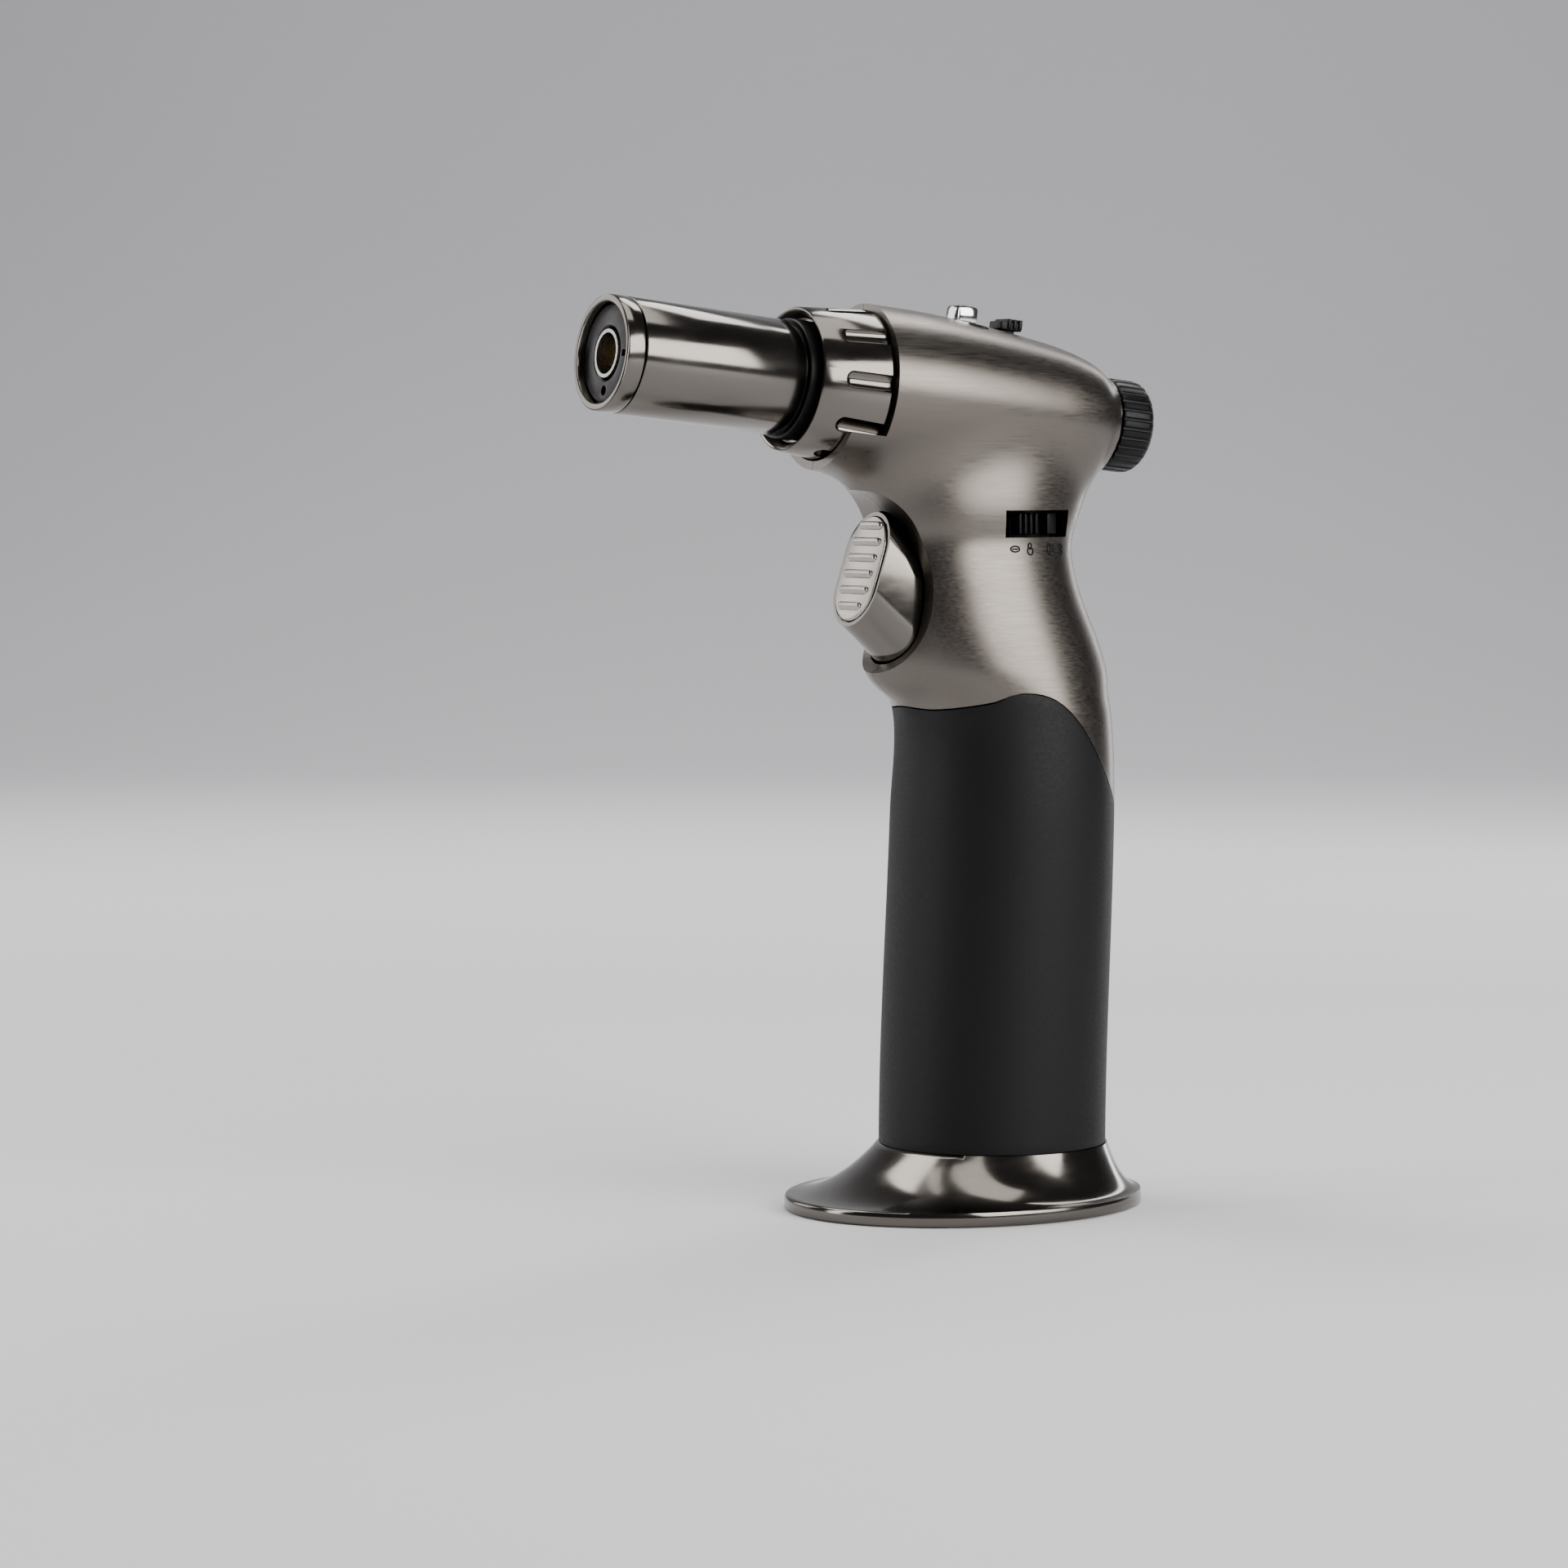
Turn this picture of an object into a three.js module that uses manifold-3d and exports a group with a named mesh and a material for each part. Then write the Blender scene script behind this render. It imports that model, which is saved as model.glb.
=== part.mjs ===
// Butane torch for jewellery work, drawn as an assembly of its separate pieces, in millimetres.
// +Z is up and the barrel points towards -X. The origin is the centre of the foot, on the bench.
import * as THREE from 'three';
import { mergeVertices } from 'three/addons/utils/BufferGeometryUtils.js';
import Module from 'manifold-3d';

const wasm = await Module();
wasm.setup();

// ---------------------------------------------------------------- driving dimensions
const nozzle = { x: -72.8, z: 151.5 };
const barrelTilt = THREE.MathUtils.degToRad(6.55);
const tubeRadius = 10.1;
const tubeBore = 9.3;
const tipLength = 3.3;
const bushFront = 35.4;
const ring = { front: 36.8, rear: 50.0, frontRadius: 12.6, rearRadius: 13.9, flutes: 10 };
const headFront = 50.5;
const headRear = 101.2;
const chinFront = 43.5;
const chinTop = -8.5;
const knob = { front: 101.8, rear: 109.1, radius: 8.3, ribs: 30 };
const wall = 2.0;
const sleeveWall = 2.2;
const gap = 0.3;
const blend = 15;
const neckTop = 121;
const lip = { x: -12.4, z: 98.4, radius: 6.5, blend: 5 };
const sleeveFoot = 11.0;
const foot = { semiX: 33.5, semiY: 27.6, rim: 2.6, deck: 2.0 };
const grip = { x: 6.0, top: 84.0, lidTop: 87.3 };
const valveX = 12.0;
const pullAngle = THREE.MathUtils.degToRad(42);
const pad = { topX: -18.2, topZ: 124.1, footX: -24.5, footZ: 104.05, halfWidth: 7.3 };
const ridge = { pitch: 2.95, radius: 0.75, height: 1.1, halfLengths: [2.9, 3.9, 3.9, 3.9, 3.9, 2.9] };
const opening = { x: -24.0, z: 111.0, semiX: 11.0, semiZ: 17.0 };
const lockWindow = { x0: 0.0, x1: 15.2, z0: 119.6, z1: 124.4 };
const button = { s0: 68.6, s1: 72.8, half: 2.4, top: 17.2 };
const flameLock = { s0: 77.8, s1: 82.2, half: 2.4, top: 16.0 };
const shellScrews = [[18.5, 129.5], [23.4, 98.0], [-11.0, 126.5]];
const footScrews = [[-8.0, 0], [20.0, 0]];

// ---------------------------------------------------------------- finishes
function finish(color, roughness, metalness) {
  return new THREE.MeshStandardMaterial({ color, roughness, metalness });
}
const polished = finish(0x55524f, 0.14, 1.0);
const satin = finish(0x77726d, 0.34, 1.0);
const softBlack = finish(0x17171a, 0.8, 0.0);
const blackPlastic = finish(0x0e0e10, 0.45, 0.0);
const bright = finish(0xc9c6c2, 0.18, 1.0);
const brass = finish(0xb08a45, 0.32, 1.0);
const steel = finish(0x9a9a9c, 0.3, 1.0);
const burnt = finish(0x3b3a3a, 0.5, 0.8);
const ceramic = finish(0xe8e4da, 0.5, 0.0);
const smoke = finish(0x8f949a, 0.3, 0.0);
const rubber = finish(0x111111, 0.9, 0.0);
const wireRed = finish(0x9c2a20, 0.5, 0.0);

const torch = new THREE.Group();
const barrel = new THREE.Group();
barrel.position.set(nozzle.x, 0, nozzle.z);
barrel.rotation.y = barrelTilt;
torch.add(barrel);

function add(group, name, geometry, material) {
  const mesh = new THREE.Mesh(geometry, material);
  mesh.name = name;
  group.add(mesh);
  return mesh;
}

// ---------------------------------------------------------------- solids and cuts
// One closed shell: vertices merged, slivers of zero area dropped, faces turned outwards.
function closed(geometry) {
  const bare = geometry.clone();
  bare.deleteAttribute('normal');
  bare.deleteAttribute('uv');
  const merged = mergeVertices(bare, 5e-4);
  const index = merged.index.array;
  const kept = [];
  for (let i = 0; i < index.length; i += 3) {
    const [a, b, c] = [index[i], index[i + 1], index[i + 2]];
    if (a !== b && b !== c && a !== c) kept.push(a, b, c);
  }
  merged.setIndex(kept);
  if (signedVolume(merged) < 0) {
    for (let i = 0; i < kept.length; i += 3) [kept[i], kept[i + 1]] = [kept[i + 1], kept[i]];
    merged.setIndex(kept);
  }
  return merged;
}

function signedVolume(geometry) {
  const p = geometry.attributes.position;
  const [a, b, c] = [new THREE.Vector3(), new THREE.Vector3(), new THREE.Vector3()];
  let sum = 0;
  for (let i = 0; i < geometry.index.count; i += 3) {
    a.fromBufferAttribute(p, geometry.index.getX(i));
    b.fromBufferAttribute(p, geometry.index.getX(i + 1));
    c.fromBufferAttribute(p, geometry.index.getX(i + 2));
    sum += a.dot(b.cross(c)) / 6;
  }
  return sum;
}

function solid(geometry) {
  const g = closed(geometry);
  const vertProperties = new Float32Array(g.attributes.position.array);
  const triVerts = new Uint32Array(g.index.array);
  return new wasm.Manifold(new wasm.Mesh({ numProp: 3, vertProperties, triVerts }));
}

function geometryOf(body) {
  const mesh = body.getMesh();
  const g = new THREE.BufferGeometry();
  g.setAttribute('position', new THREE.BufferAttribute(new Float32Array(mesh.vertProperties), 3));
  g.setIndex(Array.from(mesh.triVerts));
  return closed(g);
}

function cut(geometry, ...tools) {
  let body = solid(geometry);
  for (const tool of tools) body = body.subtract(solid(tool));
  return geometryOf(body);
}

function join(...pieces) {
  let body = solid(pieces[0]);
  for (const piece of pieces.slice(1)) body = body.add(solid(piece));
  return geometryOf(body);
}

// The main piece of a cut body, without the crumbs that the cuts leave.
function largest(body) {
  return body.decompose().reduce((a, b) => (a.volume() > b.volume() ? a : b));
}

function common(a, b) {
  return geometryOf(solid(a).intersect(solid(b)));
}

// A box given by its two corners.
function box(x0, x1, y0, y1, z0, z1) {
  const g = new THREE.BoxGeometry(x1 - x0, y1 - y0, z1 - z0);
  return g.translate((x0 + x1) / 2, (y0 + y1) / 2, (z0 + z1) / 2);
}

// A body turned on the X axis from [x, radius] points, or on a vertical line at x, y.
function turned(points, sides = 24) {
  const profile = points.map(([x, r]) => new THREE.Vector2(r, x));
  return closed(new THREE.LatheGeometry(profile, sides).rotateZ(-Math.PI / 2));
}

function upright(points, x, y, sides = 16) {
  const profile = points.map(([z, r]) => new THREE.Vector2(r, z));
  return closed(new THREE.LatheGeometry(profile, sides).rotateX(Math.PI / 2).translate(x, y, 0));
}

// A tube or ring: the same turned section with a bore.
function pipe(x0, x1, radius, bore, sides = 24) {
  return turned([[x0, bore], [x0, radius], [x1, radius], [x1, bore], [x0, bore]], sides);
}

function rod(x0, x1, radius, sides = 12) {
  return turned([[x0, 0], [x0, radius], [x1, radius], [x1, 0]], sides);
}

function pin(z0, z1, radius, x, y, sides = 12) {
  return upright([[z0, 0], [z0, radius], [z1, radius], [z1, 0]], x, y, sides);
}

// A round bar across the body, from y0 to y1.
function crossBar(x, z, y0, y1, radius, sides = 12) {
  return new THREE.CylinderGeometry(radius, radius, y1 - y0, sides).translate(x, (y0 + y1) / 2, z);
}

// A flat outline in x and z, given some thickness across the body.
function sideProfile(shape, y0, y1, curveSegments = 10) {
  const g = new THREE.ExtrudeGeometry(shape, { depth: y1 - y0, bevelEnabled: false, curveSegments });
  return g.rotateX(Math.PI / 2).translate(0, y1, 0);
}

function polygon(points) {
  return new THREE.Shape(points.map(([x, y]) => new THREE.Vector2(x, y)));
}

function ellipse(x, z, semiX, semiZ) {
  return new THREE.Shape().absellipse(x, z, semiX, semiZ, 0, 2 * Math.PI);
}

// A cord or hose of round section along a smooth curve through points chosen by hand.
function hose(points, radius, steps) {
  const path = new THREE.CatmullRomCurve3(points.map((p) => new THREE.Vector3(...p)));
  const section = new THREE.Shape().absarc(0, 0, radius, 0, 2 * Math.PI);
  return new THREE.ExtrudeGeometry(section, { extrudePath: path, steps, curveSegments: 4 });
}

// A compression spring on a vertical line.
class Helix extends THREE.Curve {
  constructor(x, y, z0, z1, radius, turns) {
    super();
    Object.assign(this, { x, y, z0, z1, radius, turns });
  }

  getPoint(t, target = new THREE.Vector3()) {
    const a = t * this.turns * 2 * Math.PI;
    const [c, s] = [Math.cos(a) * this.radius, Math.sin(a) * this.radius];
    return target.set(this.x + c, this.y + s, THREE.MathUtils.lerp(this.z0, this.z1, t));
  }
}

function spring(x, y, z0, z1, radius, wire, turns) {
  const section = new THREE.Shape().absarc(0, 0, wire, 0, 2 * Math.PI);
  const extrudePath = new Helix(x, y, z0 + wire, z1 - wire, radius, turns);
  return new THREE.ExtrudeGeometry(section, { extrudePath, steps: turns * 8, curveSegments: 2 });
}

// ---------------------------------------------------------------- outer form
// A smooth line through [t, value] points, level beyond its ends.
function smoothLine(points) {
  const slopes = points.map((p, i) => {
    if (i === 0 || i === points.length - 1) return 0;
    const [a, b] = [points[i - 1], points[i + 1]];
    return (b[1] - a[1]) / (b[0] - a[0]);
  });
  return (t) => {
    if (t <= points[0][0]) return points[0][1];
    const last = points.length - 1;
    if (t >= points[last][0]) return points[last][1];
    const i = points.findIndex((p) => p[0] > t) - 1;
    const [t0, v0] = points[i];
    const [t1, v1] = points[i + 1];
    const w = t1 - t0;
    const u = (t - t0) / w;
    const rise = v1 - v0;
    const ease = u * u * (3 - 2 * u);
    return v0 + rise * ease + w * u * (1 - u) * (slopes[i] * (1 - u) - slopes[i + 1] * u);
  };
}

// Head radius along the barrel axis, and the neck's oval at each height.
const headRadius = smoothLine([
  [58, 15.0], [65, 14.8], [75, 14.1], [84, 13.2], [91, 12.2], [97, 10.6], [102, 8.2],
]);
const neckX = smoothLine([[11, 6.0], [70, 7.9], [88, 7.9], [97, 4.7], [111, 1.3], [121, 0.7]]);
const neckSemiX = smoothLine([
  [11, 20.6], [70, 20.2], [90, 20.0], [96, 22.2], [102, 22.0], [111, 20.4], [121, 19.6],
]);
const neckSemiY = smoothLine([[11, 19.9], [70, 20.0], [90, 18.5], [100, 17.0], [111, 15.0], [121, 13.5]]);
// Height of the wavy joint between sleeve and shell, by degrees round from the front.
const wave = smoothLine([
  [0, 89.7], [22, 89.3], [55, 90.7], [70, 92.3], [90, 91.3],
  [103, 87.3], [126, 77.0], [151, 70.3], [180, 68.8],
]);

function toAxis(x, z) {
  const [dx, dz] = [x - nozzle.x, z - nozzle.z];
  const s = dx * Math.cos(barrelTilt) - dz * Math.sin(barrelTilt);
  const h = dx * Math.sin(barrelTilt) + dz * Math.cos(barrelTilt);
  return [s, h];
}

function fromAxis(s, h) {
  const x = nozzle.x + s * Math.cos(barrelTilt) + h * Math.sin(barrelTilt);
  const z = nozzle.z - s * Math.sin(barrelTilt) + h * Math.cos(barrelTilt);
  return [x, z];
}

// Depth of a point under the skin, about in millimetres: the head and the neck, blended where they meet.
function skin(x, y, z, ends) {
  const [s, h] = toAxis(x, z);
  const head = Math.max(Math.hypot(h, y) - headRadius(s), ends[0] - s, s - ends[1]);
  const [a, b] = [neckSemiX(z), neckSemiY(z)];
  const fade = Math.max(z - neckTop, 0) ** 2 / 26;
  const neck = (Math.hypot((x - neckX(z)) / a, y / b) - 1) * Math.min(a, b) + fade;
  const nose = Math.hypot(x - lip.x, y, z - lip.z) - lip.radius;
  return blended(blended(head, neck, blend), nose, lip.blend);
}

// Union of two depths with a fillet about as wide as width.
function blended(a, b, width) {
  const near = Math.max(width - Math.abs(a - b), 0) / width;
  return Math.min(a, b) - near * near * width / 4;
}

// Direction number i of a ring, crowded towards the front and the rear, in radians from the front.
function bearing(i, count) {
  const angle = (i + 0.5) / count * 2 * Math.PI;
  return angle - 0.25 * Math.sin(2 * angle);
}

// Distance from an inside point along a ray to the surface that lies inset under the skin.
function reach(origin, direction, inset, ends) {
  const depth = (r) => skin(
    origin[0] + r * direction[0], r * direction[1], origin[1] + r * direction[2], ends) + inset;
  let far = 1;
  while (depth(far) < 0 && far < 80) far += 1;
  let nearby = far - 1;
  for (let i = 0; i < 24; i++) {
    const mid = (nearby + far) / 2;
    if (depth(mid) < 0) nearby = mid;
    else far = mid;
  }
  return nearby;
}

// A closed body through a stack of rings, each a list of [x, y, z].
function loft(rings) {
  const count = rings[0].length;
  const positions = rings.flat(2);
  const index = [];
  for (let j = 0; j < rings.length - 1; j++) {
    for (let i = 0; i < count; i++) {
      const [a, b] = [j * count + i, j * count + (i + 1) % count];
      index.push(a, b, b + count, a, b + count, a + count);
    }
  }
  for (const [row, flip] of [[0, true], [rings.length - 1, false]]) {
    const centre = [0, 1, 2].map((k) => rings[row].reduce((sum, p) => sum + p[k], 0) / count);
    const hub = positions.length / 3;
    positions.push(...centre);
    for (let i = 0; i < count; i++) {
      const [a, b] = [row * count + i, row * count + (i + 1) % count];
      index.push(...(flip ? [hub, b, a] : [hub, a, b]));
    }
  }
  const g = new THREE.BufferGeometry();
  g.setAttribute('position', new THREE.Float32BufferAttribute(positions, 3));
  g.setIndex(index);
  return closed(g);
}

// One ring of the body: level rings take a height for each degree round from the front.
function levelRing(heightAt, inset, ends, count) {
  return Array.from({ length: count }, (_, i) => {
    const angle = bearing(i, count);
    const round = THREE.MathUtils.radToDeg(Math.acos(Math.cos(angle)));
    const z = heightAt(round);
    const direction = [-Math.cos(angle), Math.sin(angle), 0];
    const r = reach([neckX(z), z], direction, inset, ends);
    return [neckX(z) + r * direction[0], r * direction[1], z];
  });
}

function tiltedRing(s, h, tilt, inset, ends, count) {
  const [x, z] = fromAxis(s, h);
  return Array.from({ length: count }, (_, i) => {
    const angle = bearing(i, count);
    const direction = [-Math.cos(angle) * Math.cos(tilt), Math.sin(angle), Math.cos(angle) * Math.sin(tilt)];
    const r = reach([x, z], direction, inset, ends);
    return [x + r * direction[0], r * direction[1], z + r * direction[2]];
  });
}

// The whole head and neck as one body, from the wavy edge (lowered by drop) to the crown.
function headAndNeck(inset, ends, drop, count, levels) {
  const rings = [levelRing((a) => wave(a) - drop, inset, ends, count)];
  rings.push(levelRing((a) => (wave(a) - drop + 94) / 2, inset, ends, count));
  for (const z of levels) rings.push(levelRing(() => z, inset, ends, count));
  const crown = 14.9 - inset;
  const heights = [-16, -13.5, -11, -8, -4, 0, 4, 8, 11, 13, 14.3].map((h) => h * crown / 14.9);
  heights.push(crown);
  heights.forEach((h, i) => {
    const tilt = barrelTilt * Math.min((i + 1) / 3, 1);
    let rear = ends[1];
    while (headRadius(rear) - inset < h + 0.05) rear -= 0.25;
    const middle = Math.min((ends[0] + rear) / 2, 70);
    rings.push(tiltedRing(middle, h, tilt, inset, ends, count));
  });
  return loft(rings);
}

// ---------------------------------------------------------------- foot, sleeve and tank
// An oval ring of the foot or of a piece inside it.
function ovalRing(x, z, semiX, semiY, count = 30) {
  return Array.from({ length: count }, (_, i) => {
    const angle = (i + 0.5) / count * 2 * Math.PI;
    return [x - Math.cos(angle) * semiX, Math.sin(angle) * semiY, z];
  });
}

// The flare from the rim to the sleeve, with its skin moved in by inset.
function flareRing(t, inset) {
  const x = grip.x * t;
  const semiX = THREE.MathUtils.lerp(foot.semiX, 20.9, t) - inset;
  const semiY = THREE.MathUtils.lerp(foot.semiY, 20.2, t) - inset;
  return ovalRing(x, foot.rim + (sleeveFoot - foot.rim) * t ** 2.1 - inset * t, semiX, semiY);
}

const flareSteps = [0, 0.2, 0.4, 0.58, 0.74, 0.88, 1];
const footOuter = loft([
  ovalRing(0, 0, foot.semiX - 0.4, foot.semiY - 0.4),
  ...flareSteps.map((t) => flareRing(t, 0)),
]);
const footInner = loft([
  ovalRing(0, -1, foot.semiX - 2.4, foot.semiY - 2.4),
  ovalRing(0, foot.deck + gap, foot.semiX - 2.4, foot.semiY - 2.4),
  ...flareSteps.slice(1).map((t) => flareRing(t, 2.4)),
]);
add(torch, 'foot_stand', cut(
  footOuter,
  footInner,
  pin(5, 15, 7.0, grip.x, 0),
  ...footScrews.map(([x, y]) => pin(5, 15, 1.6, x, y)),
), polished);

add(torch, 'foot_plate', cut(
  loft([0, foot.deck].map((z) => ovalRing(0, z, foot.semiX - 2.8, foot.semiY - 2.8))),
  pin(-1, 3, 5.0, grip.x, 0),
  ...footScrews.flatMap(([x, y]) => [pin(-1, 3, 1.6, x, y), pin(-1, 1.1, 2.7, x, y)]),
), blackPlastic);

footScrews.forEach(([x, y], i) => {
  const body = upright([
    [0.2, 0], [0.2, 2.3], [1.4 - gap, 2.3], [1.4 - gap, 1.2], [17, 1.2], [18, 0],
  ], x, y, 12);
  const slots = [
    box(x - 1.5, x + 1.5, y - 0.3, y + 0.3, 0, 0.8),
    box(x - 0.3, x + 0.3, y - 1.5, y + 1.5, 0, 0.8),
  ];
  add(torch, `foot_screw_${i + 1}`, cut(body, ...slots), steel);
});

const whole = [42.5, 104.0];
const skinCount = 34;
function gripLayers(bottom, topAt, inset, count = skinCount) {
  const rows = [0, 0.33, 0.67, 1];
  return loft(rows.map((v) => levelRing((a) => bottom + (topAt(a) - bottom) * v, inset, whole, count)));
}

add(torch, 'grip_sleeve', cut(
  gripLayers(sleeveFoot + 0.1, (a) => wave(a) - 0.15, 0),
  gripLayers(5, (a) => wave(a) + 4, sleeveWall),
), softBlack);

const tankFloor = sleeveFoot + 0.6;
const tankInset = sleeveWall + 0.8;
const tankBody = join(
  gripLayers(tankFloor, () => grip.top, tankInset, 24),
  pin(4.2, tankFloor + 1, 6.4, grip.x, 0),
);
add(torch, 'fuel_tank', cut(
  join(
    cut(tankBody, gripLayers(tankFloor + 2.2, () => grip.top + 5, tankInset + 2.0, 24)),
    pin(tankFloor + 1, 19, 5.6, grip.x, 0),
    ...footScrews.map(([x, y]) => pin(tankFloor + 1, 20, 3.0, x, y)),
  ),
  pin(0, 25, 3.7, grip.x, 0),
  ...footScrews.map(([x, y]) => pin(0, 18.6, 1.4, x, y)),
), smoke);

function lidRing(z, inset) {
  return levelRing(() => z, inset, whole, 24);
}
add(torch, 'tank_lid', cut(
  join(
    loft([lidRing(grip.top + 0.7, tankInset + 0.1), lidRing(grip.lidTop, tankInset + 0.1)]),
    loft([lidRing(grip.top - 4, tankInset + 2.9), lidRing(grip.top + 1, tankInset + 2.9)]),
    pin(grip.lidTop - 1, grip.lidTop + 1.6, 5.2, valveX, 0),
  ),
  loft([lidRing(grip.top - 5, tankInset + 4.7), lidRing(grip.top - 0.8, tankInset + 4.7)]),
  pin(70, 95, 3.5, valveX, 0),
), smoke);

add(torch, 'tank_gasket', cut(
  loft([lidRing(grip.top + 0.05, tankInset + 0.2), lidRing(grip.top + 0.65, tankInset + 0.2)]),
  loft([lidRing(grip.top - 1, tankInset + 2.0), lidRing(grip.top + 2, tankInset + 2.0)]),
), rubber);

// ---------------------------------------------------------------- fill valve in the foot
add(torch, 'fill_valve_body', upright([
  [2.6, 1.5], [2.6, 3.3], [21.5, 3.3], [21.5, 1.0], [16, 1.0], [16, 1.9], [4.2, 1.9], [4.2, 1.5], [2.6, 1.5],
], grip.x, 0), brass);
add(torch, 'fill_valve_stem', upright(
  [[1.2, 0], [1.2, 1.1], [5.0, 1.1], [5.0, 1.6], [7.0, 1.6], [7.0, 0.7], [13, 0.7], [13, 0]], grip.x, 0, 16,
), brass);
add(torch, 'fill_valve_spring', spring(grip.x, 0, 7.2, 15.8, 1.3, 0.22, 6), steel);
add(torch, 'fill_valve_seal', upright([
  [2.55, 3.65], [2.55, 4.65], [3.7, 4.65], [3.7, 3.65], [2.55, 3.65],
], grip.x, 0, 24), rubber);

// ---------------------------------------------------------------- outlet valve on the lid
const outletTop = 97.0;
add(torch, 'outlet_valve_body', join(
  upright([
    [80, 0.9], [80, 3.2], [outletTop - 4, 3.2], [outletTop - 4, 2.6], [outletTop, 2.6],
    [outletTop, 1.5], [outletTop - 9, 1.5], [outletTop - 9, 0.9], [80, 0.9],
  ], valveX, 0),
  rod(valveX + 2.2, valveX + 5.2, 1.1).translate(0, 0, 91.5),
), brass);
add(torch, 'outlet_valve_stem', upright([
  [outletTop - 8.5, 0], [outletTop - 8.5, 1.2], [outletTop - 5, 1.2], [outletTop - 5, 0.9], [101.2, 0.9],
  [101.2, 2.6], [102.4, 2.6], [102.4, 0],
], valveX, 0, 16), brass);
add(torch, 'outlet_valve_spring', spring(valveX, 0, outletTop + 0.15, 99.0, 1.5, 0.2, 3), steel);
add(torch, 'outlet_valve_gasket', upright([
  [grip.lidTop + 1.75, 3.45], [grip.lidTop + 1.75, 4.8], [grip.lidTop + 2.75, 4.8],
  [grip.lidTop + 2.75, 3.45], [grip.lidTop + 1.75, 3.45],
], valveX, 0), rubber);

// ---------------------------------------------------------------- trigger
const pullX = Math.cos(pullAngle);
const pullZ = -Math.sin(pullAngle);
const padLength = Math.hypot(pad.topX - pad.footX, pad.topZ - pad.footZ);
const padUp = new THREE.Vector3(pad.topX - pad.footX, 0, pad.topZ - pad.footZ).normalize();
const padCentre = new THREE.Vector3((pad.topX + pad.footX) / 2, 0, (pad.topZ + pad.footZ) / 2);

function stadium(length, half) {
  const run = length / 2 - half;
  const outline = new THREE.Shape();
  outline.absarc(0, run, half, 0, Math.PI);
  outline.absarc(0, -run, half, Math.PI, 2 * Math.PI);
  outline.closePath();
  return outline;
}

// The pad's outline pushed along the direction of pull, from one depth to another.
function pushed(outline, from, to, segments = 7) {
  const g = new THREE.ExtrudeGeometry(outline, {
    depth: to - from, bevelEnabled: false, curveSegments: segments,
  });
  const along = new THREE.Vector3(pullX, 0, pullZ);
  const frame = new THREE.Matrix4().makeBasis(new THREE.Vector3(0, 1, 0), padUp, along);
  const start = padCentre.clone().addScaledVector(along, from);
  frame.setPosition(start);
  return closed(g.applyMatrix4(frame));
}

const triggerDepth = 14;
add(torch, 'trigger', cut(
  pushed(stadium(padLength, pad.halfWidth), 0, triggerDepth),
  pushed(stadium(padLength - 1.4, pad.halfWidth - 0.7), -2, 0.9),
  pushed(stadium(padLength - 5, pad.halfWidth - 1.8), 3.5, triggerDepth + 1),
), polished);

const padPlate = pushed(stadium(padLength - 2.0, pad.halfWidth - 1.0), -0.4, 0.6);
const ridges = ridge.halfLengths.map((run, i) => {
  const along = 0.3 + (2.5 - i) * ridge.pitch;
  const outline = new THREE.Shape();
  outline.absarc(run, along, ridge.radius, -Math.PI / 2, Math.PI / 2);
  outline.absarc(-run, along, ridge.radius, Math.PI / 2, 1.5 * Math.PI);
  outline.closePath();
  return pushed(outline, -ridge.height, 0, 4);
});
add(torch, 'trigger_pad', join(padPlate, ...ridges), satin);

// Black guide behind the trigger: its front follows the opening and its slot takes the trigger.
const guideBlock = common(
  headAndNeck(wall + gap, [57.6, 99.2], 3, 24, [94, 98, 103, 109, 115, 121]),
  box(-24, -5, -20, 20, 95.5, 122),
);
add(torch, 'trigger_guide', cut(
  guideBlock,
  sideProfile(ellipse(opening.x, opening.z, opening.semiX + 0.5, opening.semiZ + 0.5), -20, 20),
  pushed(stadium(padLength + 0.8, pad.halfWidth + 0.4), -4, 40),
), blackPlastic);

// ---------------------------------------------------------------- piezo igniter behind the trigger
const piezo = new THREE.Group();
piezo.position.set(padCentre.x, 0, padCentre.z);
piezo.rotation.y = pullAngle;
torch.add(piezo);
add(piezo, 'piezo_case', cut(
  box(21.5, 33, -3.4, 3.4, -3.6, 3.6),
  box(21, 31.5, -2.4, 2.4, -2.6, 2.6),
), blackPlastic);
add(piezo, 'piezo_plunger', join(
  box(4.5, 15, -1.6, 1.6, -2.0, 2.0),
  box(14.5, 23.5, -2.0, 2.0, -2.2, 2.2),
), wireRed);
add(torch, 'ignition_wire', hose([
  [0.2, -4.4, 96], [2, -6.5, 102], [0, -7.5, 112], [-2, -6.5, 122], [-9.3, -3, 130.8], [-13.7, 0, 135.6],
], 0.8, 20), wireRed);

// ---------------------------------------------------------------- gas lever
const leverPivot = { x: 4.5, z: 106.0 };
const leverArm = polygon([
  [-2.4, 104.2], [4.5, 103.6], [8.6, 99.4], [9.8, 99.4],
  [9.8, 100.6], [7.2, 104.2], [5.2, 108], [-2.4, 106.4],
]);
const leverHole = crossBar(leverPivot.x, leverPivot.z, 3, 8, 1.3);
const fork = cut(box(8.6, 14.9, -2.6, 7.2, 99.4, 100.6), box(9.8, 17, -1.6, 1.6, 98, 102));
add(torch, 'gas_lever', join(cut(sideProfile(leverArm, 5.4, 7.2), leverHole), fork), steel);
add(torch, 'lever_pin', crossBar(leverPivot.x, leverPivot.z, -9.0, 9.0, 1.0), steel);

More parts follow.
